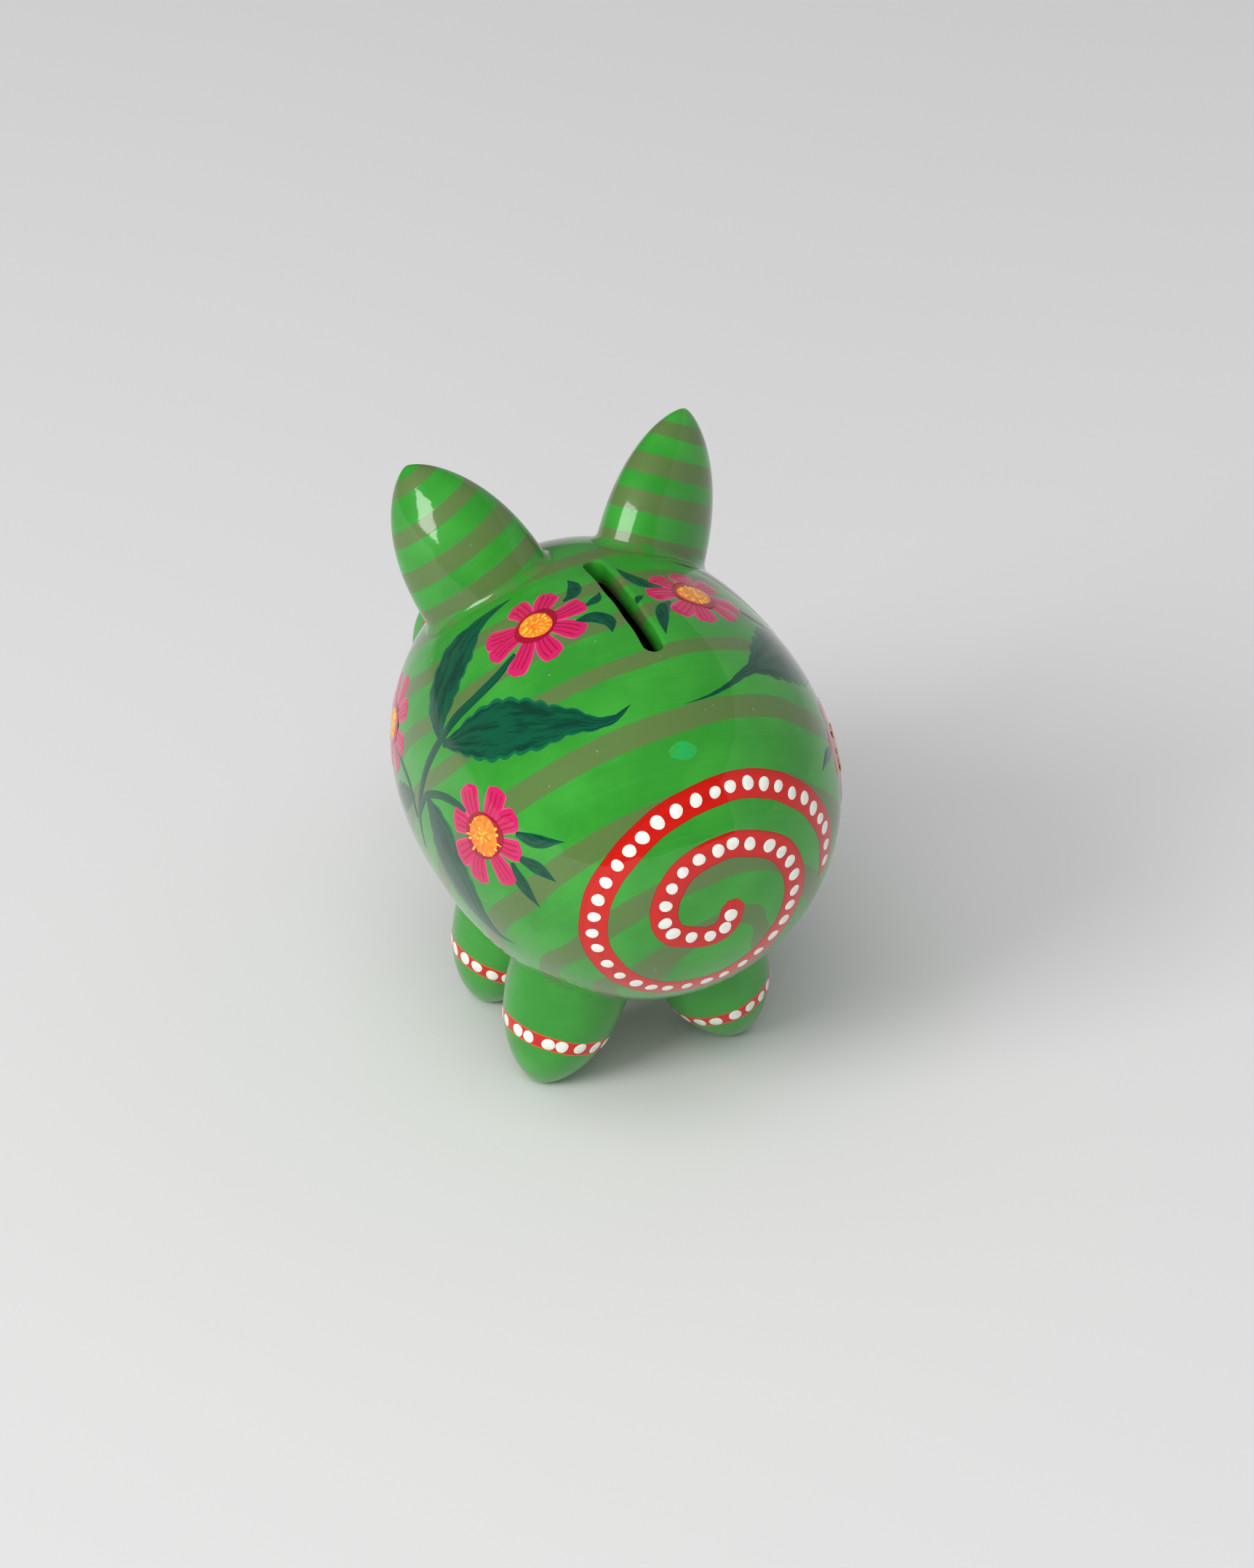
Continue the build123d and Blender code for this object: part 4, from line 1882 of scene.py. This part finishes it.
LEAF_RIGHT: Line = (
    (-0.5, 42, 0.0), (-9, 40.5, 0.35), (-16, 37.5, 0.7), (-21, 34, 1.1), (-24, 32, 1.5), (-31, 27, 5.5),
    (-38, 21.5, 8.5), (-45, 15, 8.5), (-52, 9, 5.0), (-56, 5, 0.6),
)
LEAFLETS: tuple[Line, ...] = (
    ((12.5, -0.7, 0.3), (9.5, -2, 1.6), (8, -5, 1.5), (8.3, -8.3, 0.0)),
    ((8.7, 4.2, 0.4), (5.8, 3.2, 1.3), (3.8, 0.8, 0.0)),
    ((13.5, 8.2, 0.5), (8.5, 9.5, 2.0), (6.5, 12.5, 1.8), (7.3, 16.5, 0.0)),
    ((-4, -8, 0.0), (-5.5, -3, 1.5), (-8, 1, 1.8), (-11.5, 2.8, 0.6)),
    ((-2.4, 8.3, 0.2), (-3.8, 6.5, 0.9), (-5.2, 6, 0.0)),
    ((-10.5, 9.2, 0.5), (-7.5, 12, 1.6), (-5.5, 17, 1.2), (-4.3, 21.5, 0.0)),
    ((70, 39.5, 0.6), (74.5, 42.5, 1.9), (81.5, 47.8, 0.0)),
    ((67.5, 41, 0.8), (67.8, 46, 2.2), (70, 51.5, 0.0)),
    ((61.5, 38.5, 0.8), (60.5, 43, 2.0), (55.5, 50.5, 0.0)),
    ((-60, 36.5, 0.7), (-57, 41, 1.7), (-55.3, 47.5, 0.0)),
)
FLOWERS: tuple[Flower, ...] = (
    Flower("flower_left_top", 21.2, 2.4, 4.2,
           ((22.8, -8.3), (33, -4), (34.5, 2.5), (32.5, 12), (21.7, 15.5), (13, 12.8), (8.5, 3),
            (13.5, -5.8))),
    Flower("flower_left_rear", 67.6, 29.8, 5.0,
           ((69.3, 18), (78, 21.5), (81.5, 29.8), (77, 40), (65.5, 41.5), (57.5, 37.5), (54, 29),
            (59, 19.8)),
           3.1, 1.15),
    Flower("flower_right_top", -18.5, 5.8, 4.3,
           ((-18.3, -4.8), (-10.5, -2.2), (-6.3, 6), (-10.5, 14.3), (-18, 17.3), (-26.8, 14), (-31.5, 6),
            (-27.5, -2))),
    Flower("flower_left_front", 69, -25.5, 4.0,
           ((69, -13.5), (60, -17.5), (55.5, -26.5), (59, -35), (69, -38), (78.5, -34), (81.5, -25),
            (77.5, -16.5))),
)
LASHES = (((9.6, 25.6), (6.6, 28.6)), ((12.9, 27.4), (11.3, 31.2)), ((17.0, 27.2), (18.0, 31)))
SPIRAL: Line = (
    (-4.2, -1.6, 1.2), (-4.3, -3.4, 2.9), (-4, -6, 3.1), (-2.5, -9.3, 3.2), (1.2, -10.8, 3.2), (6, -9.9, 3.2),
    (10.4, -8, 3.3),
    (12.4, -4.3, 3.4), (12.5, 0.4, 3.4), (10.8, 5.1, 3.4), (8, 8.9, 3.4), (4.2, 11.2, 3.3), (-0.6, 12.6, 3.3),
    (-4.5, 13, 3.3), (-9, 11.9, 3.3), (-14.2, 9.7, 3.3), (-17.8, 6.9, 3.4), (-20.2, 3.2, 3.4), (-21.8, -1.4, 3.4),
    (-22.2, -6.2, 3.4), (-21.5, -10.6, 3.4), (-20, -15, 3.4), (-17.5, -19.3, 3.4), (-14.2, -23.3, 3.4),
    (-10.3, -26.5, 3.4), (-5.8, -28.8, 3.4), (-1, -29.9, 3.4), (4, -30.1, 3.4), (9, -29.7, 3.4),
    (13.2, -28.5, 3.4), (17.4, -26.2, 3.4), (21.7, -22.4, 3.4), (25.2, -17.6, 3.4), (28, -11.9, 3.4),
    (29, -7.2, 3.4), (28.9, -2, 3.4), (28, 3.1, 3.4), (26, 7.9, 3.4), (23.2, 12.1, 3.4), (20.2, 15.7, 3.4),
    (17, 18.7, 3.4), (13, 21.7, 3.4), (8.4, 23.9, 3.4), (3.3, 25.5, 3.4), (-1.8, 26.4, 3.4), (-6, 26.7, 3.4),
    (-10.7, 26.1, 3.4), (-15.1, 24.7, 3.4), (-19.3, 22.7, 3.4), (-23.1, 19.9, 3.4), (-27, 16.6, 3.4),
    (-30, 12.8, 3.4), (-32.4, 8.8, 3.4), (-34.2, 5, 3.4), (-35.1, -0.2, 3.3), (-34.8, -5, 3.0), (-34, -8.6, 1.6),
)


class Decoration:
    """The painted flowers, leaves, stems and the spiral, laid over the ground."""

    def __init__(self, skin: Skin, paints: Paints, rng: np.random.Generator) -> None:
        """Takes the skin, the paints and the source of unevenness.

        Args:
            skin: the body's outer surface.
            paints: the mixed materials.
            rng: the source of unevenness.
        """
        self.back = BackSheet(skin)
        self.rump = EndSheet(skin, 1)
        self.face = EndSheet(skin, -1)
        self.paints = paints
        self.rng = rng

    def lay(self, name: str, sheet: Sheet, strokes: Sequence[Stroke], paint: bpy.types.Material) -> None:
        """Lays strokes of one paint as one piece."""
        finish_piece(painted_strokes(name, sheet, strokes, self.rng), BODY_NAME, paint)

    def build(self) -> None:
        """Paints the whole decoration."""
        self.greenery()
        for flower in FLOWERS:
            flower.paint(self.back, self.paints, self.rng)
        for source, name in ((FLOWERS[1], "flower_right_rear"), (FLOWERS[3], "flower_right_front")):
            tips = tuple((-x, y - 1.8) for x, y in source.tips)
            flower = Flower(name, -source.x, source.y - 1.8, source.disc, tips, source.petal_width,
                            source.burst)
            flower.paint(self.back, self.paints, self.rng)
        self.spiral()
        self.features()

    def greenery(self) -> None:
        """Stems and leaves on both flanks."""
        left = [Stroke(line, base=0.015, dome=0.06) for line in (STEM_MAIN,) + STEM_SIDES]
        right = [Stroke(mirrored(line), base=0.015, dome=0.06) for line in (STEM_MAIN,) + STEM_SIDES]
        self.lay("stems_left", self.back, left, self.paints.stem)
        self.lay("stems_right", self.back, right, self.paints.stem)
        plain = (LEAF_UPPER, LEAF_LOWER, LEAF_FAINT)
        leaves = [Stroke(line, base=0.025, dome=0.06, serration=0.12) for line in plain]
        leaves.append(Stroke(LEAF_TAILED, base=0.025, dome=0.06, facet=0.7, serration=0.16))
        self.lay("leaves_left", self.back, leaves, self.paints.leaf)
        others = [Stroke(LEAF_RIGHT, base=0.025, dome=0.06, facet=0.7, serration=0.14)]
        others += [Stroke(mirrored(line), base=0.025, dome=0.06) for line in plain]
        self.lay("leaves_right", self.back, others, self.paints.leaf)
        leaflets = [Stroke(line, base=0.03, dome=0.06, facet=0.6) for line in LEAFLETS]
        self.lay("leaflets", self.back, leaflets, self.paints.leaf)

    def spiral(self) -> None:
        """The red spiral on the rump with its white dots, and a smear of green above it."""
        band = Stroke(SPIRAL, base=0.02, dome=0.07, facet=0.9, uneven=0.012)
        self.lay("spiral", self.rump, [band], self.paints.red)
        dots = []
        for x, y, _ in SPIRAL[2:-1]:
            radius = float(self.rng.uniform(1.5, 1.8))
            dots.append(Dot(x + self.rng.normal(0, 0.1), y + self.rng.normal(0, 0.1), radius, 0.13, 0.06))
        finish_piece(drops("spiral_dots", self.rump, dots, self.rng), BODY_NAME, self.paints.white)
        line = ((7.2, 36.8, 0.9), (5, 37.2, 2.0), (2.4, 37, 2.1), (0.2, 36.7, 0.6))
        smear = Stroke(line, base=0.02, dome=0.04)
        self.lay("smear", self.rump, [smear], self.paints.smear)

    def features(self) -> None:
        """Plain eyes, lashes and cheeks above the snout."""
        eyes = [Dot(side * 14.5, 22.5, 4.0, 0.3, 0.03) for side in (-1, 1)]
        finish_piece(drops("eyes", self.face, eyes, self.rng, 28, 12), BODY_NAME, self.paints.white)
        pupils = [Dot(side * 14.0, 21.9, 2.3, 0.3, 0.22) for side in (-1, 1)]
        finish_piece(drops("pupils", self.face, pupils, self.rng, 24, 10), BODY_NAME, self.paints.black)
        lashes = []
        for side in (-1, 1):
            for start, end in LASHES:
                middle = ((start[0] + end[0]) / 2 + 0.3, (start[1] + end[1]) / 2)
                line = tuple((side * x, y, w) for (x, y), w in ((start, 0.55), (middle, 0.45), (end, 0.1)))
                lashes.append(Stroke(line, base=0.04, dome=0.06, facet=0.6))
        self.lay("lashes", self.face, lashes, self.paints.black)
        cheeks = [Dot(side * 31, 4, 5.0, 0.12, 0.02) for side in (-1, 1)]
        finish_piece(drops("cheeks", self.face, cheeks, self.rng, 28, 12), BODY_NAME, self.paints.rose)


def paint_leg_band(leg: Limb, along: float, paints: Paints, rng: np.random.Generator) -> None:
    """The dotted red band round a leg.

    Args:
        leg: the leg.
        along: the band's middle, as a part of the way from the leg's root to its tip.
        paints: the mixed materials.
        rng: the source of unevenness.
    """
    sheet, around = leg.ring_sheet(along)
    band = ring_band(leg.name + "_band", sheet, around, 0.0, 2.0, 72)
    finish_piece(band, BODY_NAME, paints.banded_red)
    count = round(around / 4.35)
    dots = []
    for number in range(count):
        place = (number + rng.uniform(-0.15, 0.15)) * around / count
        dots.append(Dot(place, float(rng.uniform(-0.25, 0.25)), float(rng.uniform(1.5, 1.75)), 0.14, 0.05))
    finish_piece(drops(leg.name + "_dots", sheet, dots, rng), BODY_NAME, paints.white)


# ---------------------------------------------------------------------------- studio


@dataclass(frozen=True)
class Lamp:
    """A soft light that faces the object."""

    name: str
    azimuth: float  # degrees from behind the pig towards its left
    elevation: float
    distance: float  # in metres, as are the sizes
    width: float
    height: float
    power: float  # in watts
    only: tuple[str, ...] = ()  # pieces that it alone glints on; none for a light for everything
    colour: tuple[float, float, float] = (1.0, 0.99, 0.97)


@dataclass(frozen=True)
class Card:
    """An upright card beside the set that only shows in the varnish."""

    name: str
    azimuth: float
    distance: float
    width: float
    height: float
    glow: float


@dataclass(frozen=True)
class Studio:
    """A pale floor, soft lights and the camera."""

    centre: np.ndarray
    azimuth: float = 157.03
    elevation: float = 33.29
    distance: float = 1.047
    aim: tuple[float, float] = (-0.2098, 0.2422)  # degrees added to the azimuth and elevation
    lens: float = 100.19
    lamps: tuple[Lamp, ...] = (
        Lamp("key", 75.0, 33.0, 3.0, 1.3, 1.3, 47.0),
        Lamp("fill", 40.0, 62.0, 3.0, 2.4, 2.4, 43.0),
        Lamp("low", 30.0, 8.0, 3.0, 1.6, 0.6, 14.0),
        Lamp("glint_left", 62.0, 24.0, 0.6, 0.2, 0.32, 2.0, ("ear_left_turned", "ear_left_filler")),
        Lamp("glint_right", 55.0, 46.0, 0.6, 0.5, 0.2, 2.6, ("ear_right_turned", "ear_right_filler")),
    )
    cards: tuple[Card, ...] = (
        Card("dark_card", 16.0, 0.62, 1.2, 0.55, 0.02),
        Card("white_card", -90.0, 0.9, 3.2, 0.9, 0.5),
    )
    floor_tone: tuple[float, float, float, float] = srgb(226, 226, 227)
    sky: float = 0.36
    sheen: float = 0.14  # of the surroundings in the varnish

    def axes(self) -> tuple[Vector, Vector, Vector]:
        """The camera's right, up and backward directions.

        Returns:
            Three unit directions.
        """
        yaw = radians(self.azimuth + self.aim[0])
        pitch = radians(self.elevation + self.aim[1])
        back = Vector((sin(yaw) * cos(pitch), -cos(yaw) * cos(pitch), sin(pitch)))
        right = Vector((cos(yaw), sin(yaw), 0))
        return right, back.cross(right), back

    def build(self) -> None:
        """Sets up the camera, the lights and the floor."""
        scene = bpy.context.scene
        yaw, pitch = radians(self.azimuth), radians(self.elevation)
        away = Vector((sin(yaw) * cos(pitch), -cos(yaw) * cos(pitch), sin(pitch)))
        right, up, back = self.axes()
        data = bpy.data.cameras.new("camera")
        data.lens = self.lens
        data.sensor_width = 36
        camera = bpy.data.objects.new("camera", data)
        scene.collection.objects.link(camera)
        turn = Matrix((right, up, back)).transposed().to_4x4()
        middle = Vector(self.centre) * MM
        camera.matrix_world = Matrix.Translation(middle + away * self.distance) @ turn
        scene.camera = camera
        scene.view_settings.view_transform = "Standard"
        scene.view_settings.look = "None"
        for lamp in self.lamps:
            self.light(lamp, middle)
        for card in self.cards:
            self.stand(card)
        self.floor()
        self.backlight()

    def light(self, lamp: Lamp, middle: Vector) -> None:
        """Adds one soft light that faces the object.

        Args:
            lamp: the light.
            middle: the point that it faces, in metres.
        """
        data = bpy.data.lights.new(lamp.name, "AREA")
        data.shape = "RECTANGLE"
        data.size = lamp.width
        data.size_y = lamp.height
        data.energy = lamp.power
        data.color = lamp.colour
        made = bpy.data.objects.new(lamp.name, data)
        bpy.context.scene.collection.objects.link(made)
        azimuth, elevation = radians(lamp.azimuth), radians(lamp.elevation)
        way = Vector((sin(azimuth) * cos(elevation), cos(azimuth) * cos(elevation), sin(elevation)))
        turn = way.to_track_quat("Z", "Y").to_matrix().to_4x4()
        made.matrix_world = Matrix.Translation(middle + way * lamp.distance) @ turn
        if lamp.only:
            made.visible_diffuse = False
            pieces = bpy.data.collections.new(lamp.name)
            for name in lamp.only:
                pieces.objects.link(bpy.data.objects[name])
            made.light_linking.receiver_collection = pieces
        else:
            made.visible_glossy = False

    def stand(self, card: Card) -> None:
        """Stands a card on the floor, facing the object.

        Args:
            card: the card.
        """
        azimuth = radians(card.azimuth)
        way = Vector((sin(azimuth), cos(azimuth), 0))
        centre = way * card.distance + Vector((self.centre[0], self.centre[1], 0)) * MM
        deselect()
        bpy.ops.mesh.primitive_plane_add(size=1, location=centre + Vector((0, 0, card.height / 2)),
                                         rotation=(pi / 2, 0, -azimuth))
        made = named(card.name)
        made.scale = (card.width, card.height, 1)
        recipe = Recipe(card.name)
        glow = recipe.node("Emission", Color=(1.0, 1.0, 1.0, 1.0), Strength=card.glow)
        recipe.node("OutputMaterial", Surface=glow.outputs[0])
        made.data.materials.append(recipe.material)
        made.visible_camera = False
        made.visible_diffuse = False
        made.visible_shadow = False
        made.visible_transmission = False

    def floor(self) -> None:
        """Adds the floor."""
        deselect()
        bpy.ops.mesh.primitive_plane_add(size=12)
        floor = named("floor")
        recipe = Recipe("floor_paper")
        shader = recipe.node("BsdfPrincipled", Base_Color=self.floor_tone, Roughness=0.6)
        shader.inputs["Specular IOR Level"].default_value = 0.2
        recipe.node("OutputMaterial", Surface=shader.outputs[0])
        floor.data.materials.append(recipe.material)

    def backlight(self) -> None:
        """Lights the surroundings evenly, and less so where the varnish mirrors them."""
        world = bpy.data.worlds.new("surroundings")
        world.use_nodes = True
        tree = world.node_tree
        path = tree.nodes.new("ShaderNodeLightPath")
        level = tree.nodes.new("ShaderNodeMapRange")
        level.inputs[3].default_value = self.sky
        level.inputs[4].default_value = self.sheen
        background = tree.nodes["Background"]
        background.inputs[0].default_value = (0.98, 0.99, 1.0, 1)
        tree.links.new(path.outputs["Is Glossy Ray"], level.inputs[0])
        tree.links.new(level.outputs[0], background.inputs[1])
        bpy.context.scene.world = world


# ------------------------------------------------------------------------------ main

EAR = LimbSizes(root=(20.5, -26.7, 37.7), tip=(35.9, -40.2, 69.45), half_width=16.8, half_thickness=10.8,
                turn=-26.4, bluntness=2.32, fullness=1.45, bead=1.7)
LEG_REACH = (14.7, 15.8, -39.7), (27.0, 18.6, -75.9)  # root and tip, fore and aft of the seam
LEG_BANDS = {("front", 1): 0.6, ("front", -1): 0.6, ("rear", 1): 0.57, ("rear", -1): 0.62}
EAR_HOOPS = {  # part of the way along the ear, and half width
    1: ((0.91, 1.5), (0.66, 1.9), (0.4, 2.5), (0.14, 2.4)),
    -1: ((0.84, 1.9), (0.60, 2.4), (0.36, 2.5), (0.08, 2.5)),
}
EAR_LEAN = {1: (0.13, -0.055, 0.0), -1: (0.0, 0.0, 0.0)}  # of the hoops from the ear's axis
BODY_HOOPS = ((-51, 2.2), (-39.5, 2.3), (-27, 2.2), (-14.6, 2.2), (-1, 2.2), (17.2, 3.0), (35, 2.6),
              (48, 1.9), (56, 1.3))
BODY_SWAY = ((0.0, 0.0), (0.375, 1.2), (0.4167, -0.3), (0.4583, -1.3), (0.5, -0.5), (0.5417, 0.3), (0.5833, 0.9),
             (0.625, 1.2), (0.6667, 1.2), (0.75, -1.5), (1.0, 0.0))


def find_skin() -> Skin:
    """The body's outer surface, placed by the rear shell's box in the frame.

    Returns:
        The skin.
    """
    low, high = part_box("body_rear")
    radius = (high.x - low.x) / 2 / MM
    centre = np.array([(high.x + low.x) / 2 / MM, high.y / MM - BODY_HALF_LENGTH, low.z / MM + radius])
    return Skin(centre, radius, BODY_HALF_LENGTH)


def leg_sizes(end: int) -> LimbSizes:
    """The sizes of a leg at the front (-1) or the rear (1).

    Args:
        end: -1 at the front, 1 at the rear.

    Returns:
        The sizes of the pig's left leg there.
    """
    seam = ShellSizes().seam
    root, tip = (np.array(point) * np.array([1, end, 1]) + np.array([0, seam, 0]) for point in LEG_REACH)
    return LimbSizes(root=tuple(root), tip=tuple(tip), half_width=15.3, half_thickness=15.3, turn=0.0,
                     bluntness=2.95, fullness=1.46, bead=0.8)


def mix_paints(skin: Skin, ears: dict[int, Limb]) -> Paints:
    """Mixes every material of the object.

    Args:
        skin: the body's outer surface.
        ears: the ears, by side.

    Returns:
        The mixed materials.
    """
    hoops = tuple(Hoop(middle, half_width) for middle, half_width in BODY_HOOPS)
    ear_paints = {}
    for side, ear in ears.items():
        length = ear.bullet.length
        rings = tuple(Hoop(place * length, half_width) for place, half_width in EAR_HOOPS[side])
        way = tuple(Vector(ear.bullet.axis + np.array(EAR_LEAN[side])).normalized())
        gloss = Gloss(varnish_roughness=0.07, ripple=0.12, grain=0.012)
        ground = GroundPaint(f"green_{ear.name}", ear.bullet.root, way, rings, wobble=0.4, gloss=gloss)
        ear_paints[side] = ground.mixed()
    return Paints(
        body=GroundPaint("green_body", skin.centre, HOOP_AXIS, hoops, BODY_SWAY, 0.6).mixed(),
        ear=ear_paints,
        leg=GroundPaint("green_leg", skin.centre, (0.0, 0.0, 1.0), ()).mixed(),
        snout=GroundPaint("green_snout", skin.centre, (0.0, 1.0, 0.0), ()).mixed(),
        filler=DabPaint("filler_green", Colour.DEEP_GREEN, Colour.OLIVE, 0.25).mixed(),
        petal=PetalPaint().mixed(),
        leaf=StrokePaint("leaf_teal", Colour.TEAL, Colour.DARK_TEAL, Colour.LEAF_EDGE,
                         streak_count=7.0, breaks=5.0).mixed(),
        stem=StrokePaint("stem_teal", Colour.TEAL, Colour.DARK_TEAL, Colour.TEAL, 0.6, 3.0).mixed(),
        smear=DabPaint("smear_green", Colour.SMEAR, Colour.GREEN).mixed(),
        red=StrokePaint("spiral_red", Colour.RED, Colour.DEEP_RED, Colour.DEEP_RED, 0.35, 4.0, 0.05).mixed(),
        banded_red=StrokePaint("band_red", Colour.RED, Colour.DEEP_RED, Colour.AMBER, 0.35, 3.0, 0.1).mixed(),
        dark_red=DabPaint("flower_crimson", Colour.WINE, Colour.CRIMSON).mixed(),
        white=DabPaint("dot_white", Colour.WHITE, Colour.CREAM, 0.5).mixed(),
        orange=DabPaint("flower_orange", Colour.ORANGE, Colour.AMBER, 0.9).mixed(),
        yellow=DabPaint("flower_yellow", Colour.YELLOW, Colour.ORANGE, 0.8).mixed(),
        black=DabPaint("eye_black", Colour.BLACK, Colour.BLACK).mixed(),
        rose=DabPaint("cheek_rose", Colour.ROSE, Colour.PINK, 0.3).mixed(),
        wood=BareWood().mixed(),
    )


def main() -> None:
    """Builds the whole money box and its studio."""
    logging.basicConfig(level=logging.INFO, format="%(name)s %(message)s")
    rng = np.random.default_rng(7)
    skin = find_skin()
    ears = {1: Limb("ear_left", skin, EAR, 1), -1: Limb("ear_right", skin, EAR, -1)}
    legs = {
        (end_name, side): Limb(f"leg_{end_name}_{side_name}", skin, leg_sizes(end), side)
        for end, end_name in ((-1, "front"), (1, "rear"))
        for side, side_name in ((1, "left"), (-1, "right"))
    }
    paints = mix_paints(skin, ears)
    for name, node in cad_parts.items():
        if "dowel" in name:
            node.data.materials.clear()
            node.data.materials.append(paints.wood)

    def dowel_holes(end: int) -> list[bpy.types.Object]:
        """The cutters of the dowel holes in the front (-1) or rear (1) shell.

        Args:
            end: -1 for the front shell, 1 for the rear shell.

        Returns:
            The cutters.
        """
        name = "front" if end < 0 else "rear"
        limbs = [legs[name, 1], legs[name, -1]] + (list(ears.values()) if end < 0 else [])
        return [limb.hole() for limb in limbs]

    shells = Shells(skin, SlotSizes(), ShellSizes())
    shells.dress(shells.build(dowel_holes), paints.body, paints.wood)
    for side, ear in ears.items():
        ear.dress(ear.build(), ear.bead(), paints.ear[side], paints.filler)
    for key, leg in legs.items():
        leg.dress(leg.build(), leg.bead(), paints.leg, paints.filler)
        paint_leg_band(leg, LEG_BANDS[key], paints, rng)
    snout = Snout(skin, SnoutSizes())
    snout.dress(snout.build(), paints.snout, paints.wood, paints.red, paints.white, rng)
    Decoration(skin, paints, rng).build()
    Studio(skin.centre).build()


if __name__ == "__main__":
    main()
